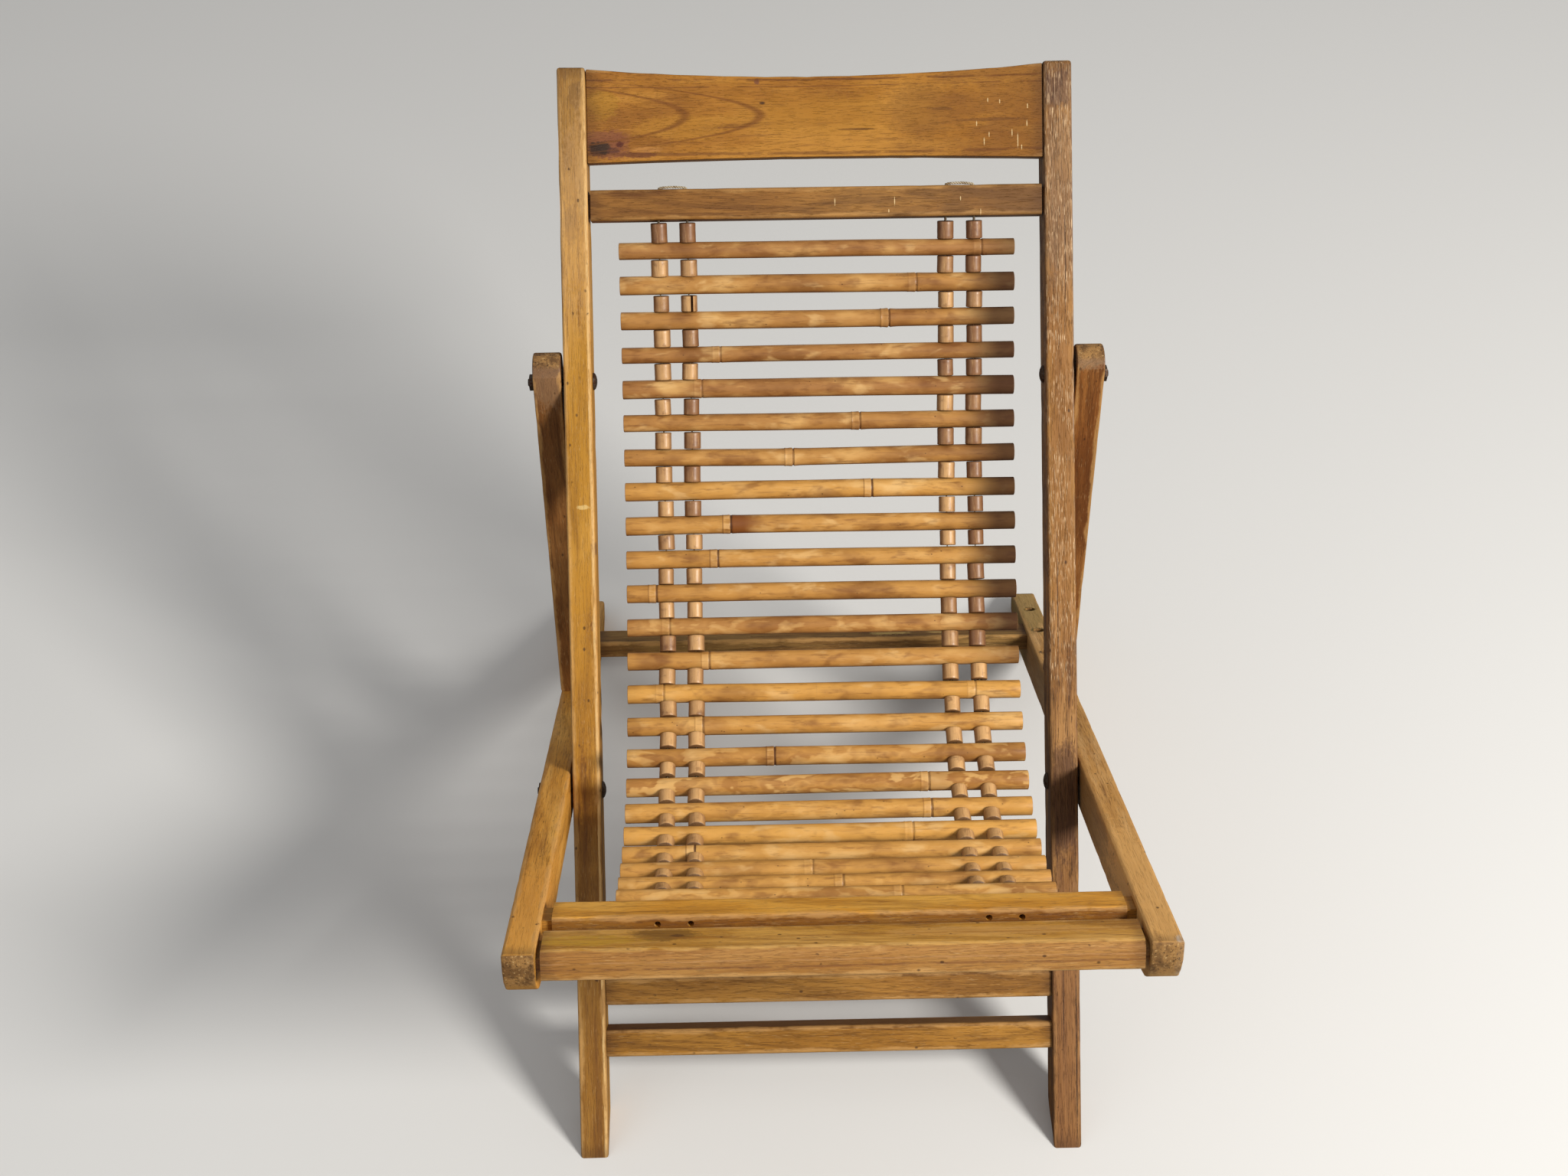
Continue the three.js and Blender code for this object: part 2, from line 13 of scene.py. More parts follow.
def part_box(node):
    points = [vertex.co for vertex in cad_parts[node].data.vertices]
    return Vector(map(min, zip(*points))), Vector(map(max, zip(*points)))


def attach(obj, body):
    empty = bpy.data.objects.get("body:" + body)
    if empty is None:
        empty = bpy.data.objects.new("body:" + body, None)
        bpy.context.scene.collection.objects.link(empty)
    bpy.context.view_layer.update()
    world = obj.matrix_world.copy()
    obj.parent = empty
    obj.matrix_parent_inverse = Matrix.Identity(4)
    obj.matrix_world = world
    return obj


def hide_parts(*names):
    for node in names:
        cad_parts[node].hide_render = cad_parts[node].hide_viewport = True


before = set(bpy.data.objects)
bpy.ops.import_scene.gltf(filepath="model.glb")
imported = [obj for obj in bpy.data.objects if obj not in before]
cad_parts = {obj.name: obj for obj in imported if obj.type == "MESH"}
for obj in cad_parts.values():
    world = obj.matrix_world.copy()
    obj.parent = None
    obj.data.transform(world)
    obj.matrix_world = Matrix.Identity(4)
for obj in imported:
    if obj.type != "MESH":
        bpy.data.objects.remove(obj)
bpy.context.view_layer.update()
MM = 0.001
WELD = 0.005 * MM


# Camera, light and floor
def aim(position, pitch, yaw, roll):
    """Matrix of something at position that looks down by pitch and to the right by yaw, in degrees."""
    turn = (Matrix.Rotation(math.radians(-yaw), 4, "Z") @ Matrix.Rotation(math.radians(90 - pitch), 4, "X")
            @ Matrix.Rotation(math.radians(-roll), 4, "Z"))
    return Matrix.Translation(position) @ turn


def add_camera():
    """The photograph's camera, as it was fitted to the wall, the floor and the chair."""
    camera = bpy.data.objects.new("camera", bpy.data.cameras.new("camera"))
    camera.data.lens = 50.24
    camera.data.sensor_width = 36
    camera.matrix_world = aim((-0.0725, -1.5344, 2.012), pitch=44.87, yaw=1.2, roll=0.18)
    bpy.context.scene.collection.objects.link(camera)
    bpy.context.scene.camera = camera


def add_lamp(name, position, target, size, power, tint):
    data = bpy.data.lights.new(name, "AREA")
    data.shape, data.size, data.energy, data.color = "DISK", size, power, tint
    lamp = bpy.data.objects.new(name, data)
    lamp.location = position
    lamp.rotation_euler = (Vector(target) - Vector(position)).to_track_quat("-Z", "Y").to_euler()
    bpy.context.scene.collection.objects.link(lamp)


def add_stage():
    """A plain pale floor, a big soft window at the right, and a little light from everywhere."""
    bm = bmesh.new()
    bmesh.ops.create_grid(bm, x_segments=1, y_segments=1, size=14)
    finish = Finish("floor", roughness=0.75, specular_ior_level=0.15)
    seen = finish.node("ShaderNodeLightPath")
    finish.wear(base_color=finish.paint(ink(118, 116, 112), ink(228, 226, 222), seen))
    add_piece("floor", bm, [finish])
    world = bpy.data.worlds.new("studio")
    bpy.context.scene.world = world
    world.use_nodes = True
    background = world.node_tree.nodes["Background"].inputs
    background["Color"].default_value = (0.97, 0.98, 1.0, 1)
    background["Strength"].default_value = 0.36
    add_lamp("window", position=(3.15, -2.155, 3.07), target=(0, 0.05, 0.4), size=1.28, power=234,
             tint=(1.0, 0.985, 0.955))
    add_lamp("fill", position=(-2.2, -1.2, 1.8), target=(0, 0, 0.4), size=2.4, power=8,
             tint=(0.96, 0.98, 1.0))
    bpy.context.scene.view_settings.view_transform = "Standard"


# Shader maths
class Value:
    """A shader socket in arithmetic: each operator adds a Math node to the socket's finish."""

    def __init__(self, finish, socket):
        self.finish, self.socket = finish, socket

    def sibling(self, output):
        """Another output of the same node."""
        return Value(self.finish, self.socket.node.outputs[output])

    def math(self, operation, first, second=0.0):
        return self.finish.node("ShaderNodeMath", {"operation": operation}, {0: first, 1: second})

    def __add__(self, other):
        return self.math("ADD", self, other)

    def __sub__(self, other):
        return self.math("SUBTRACT", self, other)

    def __rsub__(self, other):
        return self.math("SUBTRACT", other, self)

    def __mul__(self, other):
        return self.math("MULTIPLY", self, other)

    def __pow__(self, other):
        return self.math("POWER", self, other)

    def __abs__(self):
        return self.math("ABSOLUTE", self)

    __radd__ = __add__
    __rmul__ = __mul__


class Finish:
    """A material under construction. Tones are colours as seen, 0 to 255."""

    def __init__(self, name, **constants):
        self.material = bpy.data.materials.new(name)
        self.material.use_nodes = True
        self.tree = self.material.node_tree
        self.surface = self.tree.nodes["Principled BSDF"]
        self.wear(**constants)

    def node(self, kind, settings=None, inputs=None, output=0):
        node = self.tree.nodes.new(kind)
        for key, setting in (settings or {}).items():
            setattr(node, key, setting)
        for key, value in (inputs or {}).items():
            self.feed(node.inputs[key], value)
        return Value(self, node.outputs[output])

    def feed(self, socket, value):
        if isinstance(value, Value):
            self.tree.links.new(value.socket, socket)
        else:
            socket.default_value = value

    def wear(self, **sockets):
        """Feeds the shader: roughness=0.5 sets its Roughness."""
        for name, value in sockets.items():
            self.feed(self.surface.inputs[name.replace("_", " ").title().replace("Ior", "IOR")], value)

    def coordinates(self, output="Object"):
        return self.node("ShaderNodeTexCoord", output=output)

    def attribute(self, name):
        """A float that the mesh carries at its vertices."""
        return self.node("ShaderNodeAttribute", {"attribute_name": name}, output=2)

    def split(self, vector):
        parts = self.node("ShaderNodeSeparateXYZ", inputs={0: vector})
        return [parts.sibling(axis) for axis in range(3)]

    def join(self, x, y, z):
        return self.node("ShaderNodeCombineXYZ", inputs={0: x, 1: y, 2: z})

    def noise(self, vector, scale, detail, roughness=0.55, distortion=0):
        return self.node("ShaderNodeTexNoise", inputs={
            "Vector": vector, "Scale": scale, "Detail": detail, "Roughness": roughness,
            "Distortion": distortion})

    def band(self, reach, scale):
        """Uneven bands along one value."""
        return self.node("ShaderNodeTexNoise", {"noise_dimensions": "1D"}, {
            "W": reach, "Scale": scale, "Detail": 3, "Roughness": 0.6})

    def cells(self, vector, scale):
        return self.node("ShaderNodeTexVoronoi", inputs={"Vector": vector, "Scale": scale})

    def rise(self, value, low, high):
        """0 below low, 1 above high, smooth between them; it falls where high is below low."""
        return self.node("ShaderNodeMapRange", {"interpolation_type": "SMOOTHSTEP"}, {
            "Value": value, "From Min": low, "From Max": high})

    def paint(self, under, over, mask):
        return self.node("ShaderNodeMix", {"data_type": "RGBA"}, {0: mask, 6: under, 7: over}, output=2)

    def tint(self, colour, *layers):
        """Paints each (tone, mask) over the colour in turn."""
        for tone, mask in layers:
            colour = self.paint(colour, ink(*tone), mask)
        return colour

    def length(self, x, y):
        return self.node("ShaderNodeVectorMath", {"operation": "LENGTH"}, {
            0: self.join(x, y, 0.0)}, output=1)

    def facing(self, axis):
        """How squarely the surface faces along an axis, either way."""
        return abs(self.node("ShaderNodeVectorMath", {"operation": "DOT_PRODUCT"}, {
            0: self.coordinates("Normal"), 1: axis}, output=1))

    def bump(self, height, distance):
        return self.node("ShaderNodeBump", inputs={"Height": height, "Distance": distance, "Strength": 1.0})


def ink(red, green, blue):
    """A tone as a socket's linear colour."""
    linear = [c / 12.92 if c <= 0.04045 else ((c + 0.055) / 1.055) ** 2.4
              for c in (red / 255, green / 255, blue / 255)]
    return (*linear, 1.0)


def add_piece(name, bm, finishes, smooth_angle=35):
    """Makes a mesh object, shaded smooth except across edges sharper than an angle in degrees."""
    mesh = bpy.data.meshes.new(name)
    bm.to_mesh(mesh)
    bm.free()
    # A CAD mesh brings the normals of its import, which no longer fit its shape
    if mesh.has_custom_normals:
        mesh.attributes.remove(mesh.attributes["custom_normal"])
    mesh.polygons.foreach_set("use_smooth", [True] * len(mesh.polygons))
    mesh.set_sharp_from_angle(angle=math.radians(smooth_angle))
    for finish in finishes:
        mesh.materials.append(finish.material)
    piece = bpy.data.objects.new(name, mesh)
    bpy.context.scene.collection.objects.link(piece)
    return piece


def cad_copy(node, flat_angle, place=Matrix()):
    """A CAD node's mesh in a place's axes, its triangles joined where they lie flat to within degrees."""
    bm = bmesh.new()
    bm.from_mesh(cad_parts[node].data)
    bmesh.ops.transform(bm, matrix=place.inverted(), verts=bm.verts)
    bmesh.ops.remove_doubles(bm, verts=bm.verts, dist=WELD)
    bmesh.ops.dissolve_limit(bm, angle_limit=math.radians(flat_angle), verts=bm.verts, edges=bm.edges)
    return bm


def bevel(bm, width, sharp_angle):
    """Rounds the edges that are sharper than an angle in degrees."""
    edges = [e for e in bm.edges if e.calc_face_angle(0) > math.radians(sharp_angle)]
    bmesh.ops.bevel(bm, geom=edges, offset=width, affect="EDGES", segments=2, profile=0.5, material=-1)


# The three frames' own axes, and each grain as the axes along it, across it and into the timber
def tilted(y, z, degrees):
    return Matrix.Translation((0, y, z)) @ Matrix.Rotation(math.radians(-degrees), 4, "X")


BACK = tilted(-0.343414, 0, 41.5)
SEAT = tilted(-0.075142, 0.270026, 27.8)
PROP = tilted(0.203159, 0.584587, 5.686)
GRAIN = {"stile": (2, 0, 1), "rail": (1, 0, 2), "cross": (0, 2, 1), "tread": (0, 1, 2)}


class Timber:
    """A worn copy of a CAD timber: softened edges, small dents, and a finish along its own grain."""

    def __init__(self, node, place, grain, body, slot, seed):
        self.node, self.place, self.grain, self.body, self.slot = node, place, GRAIN[grain], body, slot
        self.seed = seed
        self.bm = cad_copy(node, flat_angle=0.4, place=place)
        spots = [v.co for v in self.bm.verts]
        low, high = (Vector(pick(co[axis] for co in spots) for axis in range(3)) for pick in (min, max))
        self.middle, self.half = (low + high) / 2, (high - low) / 2

    def slice(self, spacing):
        """Cuts the faces across the grain, so that they can be worn unevenly."""
        axis = self.grain[0]
        normal = Vector(float(i == axis) for i in range(3))
        count = int(2 * self.half[axis] / spacing)
        for step in range(1, count):
            spot = self.middle + normal * (2 * step / count - 1) * self.half[axis]
            bmesh.ops.bisect_plane(self.bm, geom=[*self.bm.verts, *self.bm.edges, *self.bm.faces],
                                   dist=0.01 * MM, plane_co=spot, plane_no=normal)

    def dent(self, depth, pitch):
        """Pushes the arrises in where a slow noise is high."""
        arris_angle, threshold = math.radians(15), 0.1
        self.bm.normal_update()
        shift = Vector((self.seed * 7.3, self.seed * 3.1, 0))
        for vert in self.bm.verts:
            sharp = max((e.calc_face_angle(0) for e in vert.link_edges), default=0)
            if sharp > arris_angle:
                high = noise.noise(vert.co / pitch + shift) - threshold
                if high > 0:
                    vert.co -= vert.normal * depth * high

    def finished(self, finish):
        bmesh.ops.transform(self.bm, matrix=self.place, verts=self.bm.verts)
        piece = add_piece(f"worn_{self.node}", self.bm, [finish], smooth_angle=40)
        piece.modifiers.new("flat_faces", "WEIGHTED_NORMAL").keep_sharp = True
        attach(piece, self.body)
        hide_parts(self.node)


SCRATCH_HALF_WIDTH = MM / 2.2


def timber_finish(timber, look):
    """Varnished wood: growth rings, fibre streaks, pores, knots, worn arrises, dirt and end grain."""
    finish = Finish(timber.node, coat_weight=look.get("coat", 0.06), coat_roughness=0.3,
                    specular_ior_level=0.3)
    rise, tint = finish.rise, finish.tint
    axes = finish.split(finish.node("ShaderNodeMapping", {"vector_type": "TEXTURE"}, {
        "Vector": finish.coordinates(), "Location": timber.place @ timber.middle,
        "Rotation": timber.place.to_euler()}))
    reaches = along, across, deep = [axes[axis] for axis in timber.grain]
    half_along, half_across, half_deep = (timber.half[axis] for axis in timber.grain)
    seed = timber.seed * 1.37

    def fibres(stretch, scale, detail, roughness=0.6, shift=1):
        """Noise drawn out along the grain: a small stretch gives long fibres."""
        spot = finish.join(along * stretch, across, deep + seed * shift)
        return finish.noise(spot, scale, detail, roughness)

    broad = fibres(0.3, 14, 3)
    mottle = fibres(0.09, 90, 4, shift=2)
    patch = fibres(0.5, 60, 4, shift=3)
    streak = fibres(0.035, 330, 5, roughness=0.68)
    thread = fibres(0.03, 900, 3, shift=2)
    pore = fibres(0.05, 1300, 2, shift=3)
    fleck = fibres(0.6, 420, 3)

    def ragged(value, by_patch, by_mottle):
        """Makes a value uneven, so that no painted boundary runs straight."""
        return value + (patch - 0.5) * by_patch + (mottle - 0.5) * by_mottle

    # Grain: growth rings about a pith, then mottling, fibres and pores
    pith_across, pith_deep, lean = look.get("pith", (0.02, -0.09, 0.03))
    from_pith = finish.length(across - pith_across, deep - pith_deep - along * lean)
    growth = finish.band(from_pith + (broad - 0.5) * 0.008 + seed, look.get("rings", 330))
    late_wood = rise(growth, 0.48, 0.64)
    pores = rise(pore, 0.55, 0.67)
    pore_tone = look.get("pore_tone", (96, 54, 18))
    dark, middle, light = look["tones"]
    colour = tint(
        ink(*middle),
        (light, rise(broad, 0.44, 0.62) * 0.85),
        (dark, rise(broad, 0.48, 0.32) * look.get("stain", 0.6)),
        (dark, late_wood * look.get("ring_strength", 0.45)),
        (dark, rise(mottle, 0.52, 0.66) * look.get("mottle", 0.5)),
        (light, rise(mottle, 0.48, 0.3) * 0.6),
        (dark, rise(streak, 0.52, 0.66) * look.get("streaks", 0.55)),
        (light, rise(thread, 0.46, 0.3) * look.get("threads", 0.4)),
        (pore_tone, rise(mottle, 0.6, 0.72) * rise(streak, 0.42, 0.6) * 0.6),
        (pore_tone, pores * look.get("pores", 0.4)))

    # Marks placed one by one
    for axis, start, full, tone, strength in look.get("fades", ()):
        width = abs(full - start)
        faded = rise(ragged(reaches[axis], width * 2.0, width), start, full)
        colour = tint(colour, (tone, faded * strength))
    near = rise(deep, 0.004, -0.012) if look.get("shallow") else 1.0
    for spot_along, spot_across, length, width, tone, strength in look.get("spots", ()):
        spread = finish.length((along - spot_along) * (1 / length), (across - spot_across) * (1 / width))
        spread = ragged(spread, 1.3, 0.8) + (fleck - 0.5) * 1.2
        colour = tint(colour, (tone, rise(spread, 1.25, 0.7) * strength * near))
    for axis, centre, half_width, tone, strength in look.get("bands", ()):
        offset = abs(ragged(reaches[axis], 0.003, 0.003) - centre)
        line = rise(offset, half_width, half_width * 0.3) * rise(patch, 0.36, 0.5)
        colour = tint(colour, (tone, line * strength))
    for mark_along, mark_across, half_length in look.get("scratches", ()):
        spread = finish.length((along - mark_along) * (1 / SCRATCH_HALF_WIDTH),
                               (across - mark_across) * (1 / half_length))
        colour = tint(colour, ((232, 200, 146), rise(spread + (thread - 0.5) * 1.2, 1.3, 0.7) * 0.9))
    for tip, tip_across, curve in look.get("arcs", ()):
        offset = along - tip + (across - tip_across) ** 2.0 * (1 / curve) + (broad - 0.5) * 0.016
        fade = rise(along - tip, -0.16, -0.05) * 0.5 + 0.5
        colour = tint(colour, (dark, rise(abs(offset), 0.009, 0.001) * fade * 0.75))

    # Wear on the arrises, specks, dashes of lost varnish, and dirt in the corners by the joints
    from_arris = (half_across - abs(across)) + (half_deep - abs(deep))
    worn = rise(ragged(from_arris, 0.013, 0.006), 0.0052, 0.0018)
    specks = rise(finish.cells(finish.join(along * 0.7, across, deep + seed), 90), 0.16, 0.07)
    sparse = rise(finish.noise(finish.join(along, across, deep), 70, 1), 0.5, 0.58)
    dash_along, dash_across, dash_low, dash_start = look.get("dash", (0.1, 1.0, 0.64, -9.0))
    dash_spot = finish.join(along * dash_along, across * dash_across, deep * dash_across + seed)
    dash = finish.noise(dash_spot, 1000, 1, 0.5)
    dashes = rise(dash, dash_low, dash_low + 0.05) * rise(along, dash_start, dash_start + 0.05)
    shoulder, grime_reach = half_along - look.get("tenon", 0.0), 0.02
    grime = rise(abs(along) + (patch - 0.5) * grime_reach, shoulder - grime_reach, shoulder)
    colour = tint(
        colour,
        (look.get("worn_tone", (206, 156, 92)), worn * look.get("wear", 0.6)),
        ((62, 36, 16), specks * sparse * look.get("specks", 0.75)),
        (look.get("dash_tone", (224, 186, 130)), dashes * rise(patch, 0.4, 0.55) * look.get("dashes", 0.2)),
        ((74, 44, 22), grime * look.get("grime", 0.45)))

    # End grain
    end = rise(finish.facing(timber.place.to_3x3().col[timber.grain[0]]), 0.6, 0.85)
    end_colour = tint(
        ink(168, 124, 70), ((112, 78, 42), rise(patch, 0.42, 0.6)),
        ((208, 172, 116), rise(fleck, 0.6, 0.68) * 0.8), ((56, 38, 20), rise(fleck, 0.44, 0.36) * 0.8))
    relief = streak * 0.35 + pores * -0.45 + late_wood * -0.12 + mottle * 0.5 + thread * 0.3 + worn * -0.3
    finish.wear(base_color=finish.paint(colour, end_colour, end * 0.9),
                normal=finish.bump(relief, look.get("relief", 0.5) * MM),
                roughness=look.get("roughness", 0.42) + streak * 0.12 + worn * 0.12 + end * 0.25)
    return finish


# What a look can hold, with places in metres from the timber's middle. The defaults are in timber_finish.
# tones: dark, middle, light; tenon: the hidden length at each end; shallow: spots stay near the front face
# spots: along, across, half length, half width, tone, strength; scratches: along, across, half length
# fades: axis (0 along, 1 across, 2 into the timber), start, full, tone, strength
# bands: axis, centre, half width, tone, strength; arcs: the tip, across at the tip, curve
# pith: across, deep, lean; dash: scale along, scale across, threshold, start
CREST_SPOTS = (
    (-0.21, -0.028, 0.021, 0.015, (124, 70, 46), 0.75),
    (-0.2185, -0.0325, 0.0095, 0.0065, (50, 32, 20), 1.0),
    (-0.212, -0.0305, 0.0055, 0.0055, (58, 38, 24), 0.9), (-0.204, -0.034, 0.006, 0.003, (84, 46, 32), 0.8),
    (-0.197, -0.028, 0.0038, 0.0032, (84, 36, 22), 0.9),
    (-0.178, -0.0385, 0.018, 0.0026, (104, 54, 30), 0.8),
    (-0.17, -0.033, 0.015, 0.003, (194, 134, 74), 0.4), (-0.058, 0.034, 0.003, 0.0028, (112, 66, 46), 0.8),
    (-0.053, 0.0125, 0.0032, 0.0016, (54, 26, 14), 1.0), (0.041, -0.015, 0.017, 0.0011, (84, 46, 16), 0.9),
    (0.128, 0.004, 0.012, 0.0016, (108, 66, 24), 0.7), (0.175, -0.008, 0.034, 0.0014, (112, 70, 30), 0.6),
    (-0.216, 0.012, 0.017, 0.017, (174, 126, 34), 0.45), (-0.13, -0.012, 0.05, 0.012, (178, 122, 38), 0.5),
    (0.0, 0.0, 0.075, 0.022, (168, 114, 34), 0.45), (0.105, 0.002, 0.03, 0.025, (132, 86, 32), 0.45),
)
CREST_SCRATCHES = (
    (0.171, -0.03, 0.0035), (0.176, -0.0233, 0.0025), (0.199, -0.0218, 0.003), (0.2047, -0.03, 0.007),
    (0.2085, -0.0368, 0.0025), (0.214, -0.0128, 0.003), (0.175, 0.0113, 0.002), (0.187, 0.0098, 0.002),
    (0.2147, 0.0045, 0.0025), (0.1636, -0.012, 0.0025),
)
RAIL_SCRATCHES = (
    (0.0186, 0.0, 0.0035), (0.079, 0.0, 0.004), (0.073, -0.01, 0.002), (0.1457, 0.0015, 0.002),
    (0.166, -0.0125, 0.003),
)
# Near-black spots over the seat rails' peg holes: painted shade inside each hole and on a rim around it
PEG_HOLE_FIRST, PEG_HOLE_PITCH, PEG_HOLE_RADIUS = 0.428, 0.084, 0.0082
PEG_HOLE_SHADE = tuple(
    (PEG_HOLE_FIRST - PEG_HOLE_PITCH * index, 0.0, PEG_HOLE_RADIUS, PEG_HOLE_RADIUS, (30, 20, 12), 1.0)
    for index in range(4))
LOOKS = {
    "stile_left": dict(
        tones=((124, 76, 22), (182, 126, 38), (212, 158, 72)), pith=(0.03, 0.05, 0.02), rings=260,
        ring_strength=0.3, wear=0.45, shallow=True, worn_tone=(222, 172, 104), mottle=0.75, streaks=0.65,
        bands=(
            (1, -0.0135, 0.0018, (104, 66, 28), 0.75), (1, 0.0118, 0.0018, (236, 194, 128), 0.8)),
        spots=(
            (0.53, 0.004, 0.012, 0.008, (98, 66, 34), 0.6), (0.47, -0.006, 0.02, 0.005, (112, 76, 36), 0.6),
            (0.44, 0.008, 0.03, 0.006, (220, 176, 112), 0.6),
            (0.4, -0.004, 0.02, 0.006, (130, 88, 42), 0.5), (0.5, 0.0, 0.1, 0.03, (138, 100, 54), 0.6),
            (0.388, 0.0, 0.1, 0.03, (202, 154, 96), 0.45), (0.15, 0.004, 0.17, 0.02, (190, 134, 36), 0.5),
            # The patch at -0.46 along darkens the foot: grime and painted shade
            (-0.05, 0.0, 0.1, 0.02, (190, 132, 40), 0.5), (-0.46, 0.0, 0.17, 0.03, (128, 84, 34), 0.6),
            # The patch at -0.25 along is the shadow of the seat's front parts, painted dark
            (-0.25, 0.004, 0.06, 0.03, (124, 78, 28), 0.6),
            (0.072, 0.0125, 0.008, 0.0022, (96, 56, 22), 0.9),
            (0.115, 0.003, 0.0022, 0.006, (226, 190, 120), 0.8),
            (-0.37, 0.006, 0.0035, 0.002, (86, 50, 22), 0.9))),
    "stile_right": dict(
        tones=((94, 57, 26), (146, 98, 46), (176, 128, 72)), pith=(-0.03, 0.04, 0.01), pores=0.8,
        pore_tone=(70, 42, 22), dashes=0.85, dash=(0.08, 1.5, 0.59, -0.1), dash_tone=(222, 186, 142),
        streaks=0.7, mottle=0.4, wear=0.15, roughness=0.5, relief=0.9, shallow=True,
        bands=(
            (1, -0.0133, 0.0018, (84, 52, 30), 0.75), (1, 0.0138, 0.0014, (96, 60, 34), 0.7)),
        spots=(
            (0.53, 0.0, 0.02, 0.03, (92, 64, 48), 0.7), (0.42, 0.0, 0.09, 0.03, (150, 114, 78), 0.5),
            (0.15, 0.0, 0.18, 0.03, (152, 100, 40), 0.6), (-0.46, 0.0, 0.16, 0.03, (146, 98, 58), 0.5),
            # The patch at -0.2 along is the right seat rail's shadow, painted dark
            (-0.2, 0.0, 0.06, 0.03, (84, 50, 28), 0.75), (-0.46, 0.0102, 0.09, 0.0007, (44, 26, 14), 0.9),
            (-0.4, -0.003, 0.05, 0.0005, (58, 34, 18), 0.8), (0.36, 0.006, 0.06, 0.0005, (60, 36, 20), 0.8),
            (0.02, -0.005, 0.08, 0.0005, (64, 38, 20), 0.8))),
    "crest_rail": dict(
        tones=((118, 68, 18), (166, 108, 32), (188, 130, 50)), pith=(0.0, -0.4, 0.0), rings=150,
        ring_strength=0.2, mottle=0.2, streaks=0.2, stain=0.5, wear=0.35, specks=0.0, pores=0.25,
        tenon=0.015, spots=CREST_SPOTS, arcs=((-0.133, 0.0, 0.0085), (-0.055, 0.0, 0.0075)),
        bands=(
            (1, 0.036, 0.0016, (104, 58, 20), 0.7), (1, -0.038, 0.0022, (104, 58, 22), 0.6),
            (1, 0.029, 0.0009, (112, 64, 22), 0.6)),
        scratches=CREST_SCRATCHES, dashes=0.0, roughness=0.38,
        fades=((0, 0.06, 0.2, (132, 84, 34), 0.65),)),
    "mat_rail": dict(
        tones=((100, 61, 25), (147, 98, 42), (166, 116, 54)), rings=400, wear=0.35, specks=0.3, tenon=0.015,
        scratches=RAIL_SCRATCHES, dashes=0.0, fades=((0, -0.05, 0.2, (112, 76, 38), 0.65),)),
    "foot_rail_upper": dict(
        tones=((106, 66, 22), (164, 112, 44), (186, 132, 56)), tenon=0.015, streaks=0.35, mottle=0.35,
        # The fade darkens the top face: painted shade
        fades=((1, 0.0105, 0.0125, (96, 58, 26), 0.65),)),
    "foot_rail_lower": dict(
        tones=((106, 66, 18), (158, 106, 34), (180, 126, 48)), tenon=0.015, streaks=0.35, mottle=0.35,
        # The fade darkens the top face: painted shade
        fades=((1, 0.0105, 0.0125, (96, 58, 26), 0.65),)),
    "seat_rail_left": dict(
        tones=((150, 94, 28), (218, 152, 56), (234, 176, 86)), wear=0.6, streaks=0.3, mottle=0.3,
        ring_strength=0.25,
        spots=(
            *PEG_HOLE_SHADE, (-0.42, 0.0, 0.1, 0.03, (228, 158, 66), 0.6),
            (0.3, 0.0, 0.2, 0.03, (150, 96, 40), 0.4))),
    "seat_rail_right": dict(
        tones=((146, 94, 42), (210, 154, 80), (230, 182, 118)), wear=0.6, streaks=0.3, mottle=0.3,
        # The fade darkens the inner side face: painted shade
        ring_strength=0.25, stain=0.3, threads=0.6, fades=((1, -0.0122, -0.0138, (104, 72, 42), 0.55),),
        spots=(
            *PEG_HOLE_SHADE, (0.43, 0.0, 0.09, 0.03, (140, 116, 50), 0.6),
            (-0.4, 0.0, 0.14, 0.03, (240, 184, 108), 0.6),
            (-0.498, 0.0125, 0.007, 0.005, (224, 208, 188), 0.75))),
    "seat_front_rail": dict(
        tones=((134, 84, 24), (197, 140, 52), (218, 165, 84)), wear=0.8, streaks=0.4, mottle=0.35,
        tenon=0.015,
        spots=(
            (-0.05, 0.006, 0.06, 0.006, (222, 166, 76), 0.5),
            (-0.15, 0.008, 0.032, 0.01, (118, 80, 26), 0.75),
            (-0.141, 0.006, 0.006, 0.0025, (84, 50, 22), 0.75),
            (-0.215, 0.0, 0.04, 0.01, (190, 144, 36), 0.6), (0.13, 0.004, 0.1, 0.008, (214, 160, 88), 0.5)),
        fades=(
            # The first fade darkens the front face: painted shade
            (1, -0.0172, -0.019, (150, 100, 56), 0.6), (2, -0.0105, -0.0125, (206, 164, 118), 0.6)),
        bands=(
            # The first band is a pale line along the rounded front edge: a painted highlight
            (1, -0.0165, 0.003, (228, 180, 106), 0.45), (1, 0.002, 0.002, (160, 104, 36), 0.5),
            (2, -0.003, 0.0016, (122, 76, 42), 0.6), (2, 0.003, 0.0012, (188, 138, 88), 0.5))),
    "mat_slat": dict(
        tones=((166, 108, 30), (222, 154, 52), (236, 178, 80)), tenon=0.015, specks=0.3,
        # The fade darkens the front face: painted shade
        fades=((1, -0.0155, -0.0175, (100, 54, 22), 0.75),)),
    "rear_stretcher": dict(
        tones=((72, 50, 20), (124, 86, 38), (158, 120, 62)), roughness=0.6, coat=0.0, tenon=0.015,
        grime=0.6,
        spots=(
            (0.095, 0.0, 0.022, 0.013, (206, 172, 100), 0.85),
            (0.155, 0.002, 0.012, 0.01, (196, 160, 92), 0.8))),
    "prop_left": dict(
        tones=((82, 48, 20), (128, 80, 36), (160, 110, 58)),
        spots=((0.21, 0.0, 0.035, 0.03, (150, 116, 84), 0.6),)),
    "prop_right": dict(
        tones=((88, 46, 16), (136, 80, 32), (160, 104, 50)),
        spots=(
            (0.235, 0.0, 0.02, 0.03, (168, 138, 98), 0.5), (0.05, 0.0, 0.08, 0.03, (104, 58, 22), 0.5))),
}

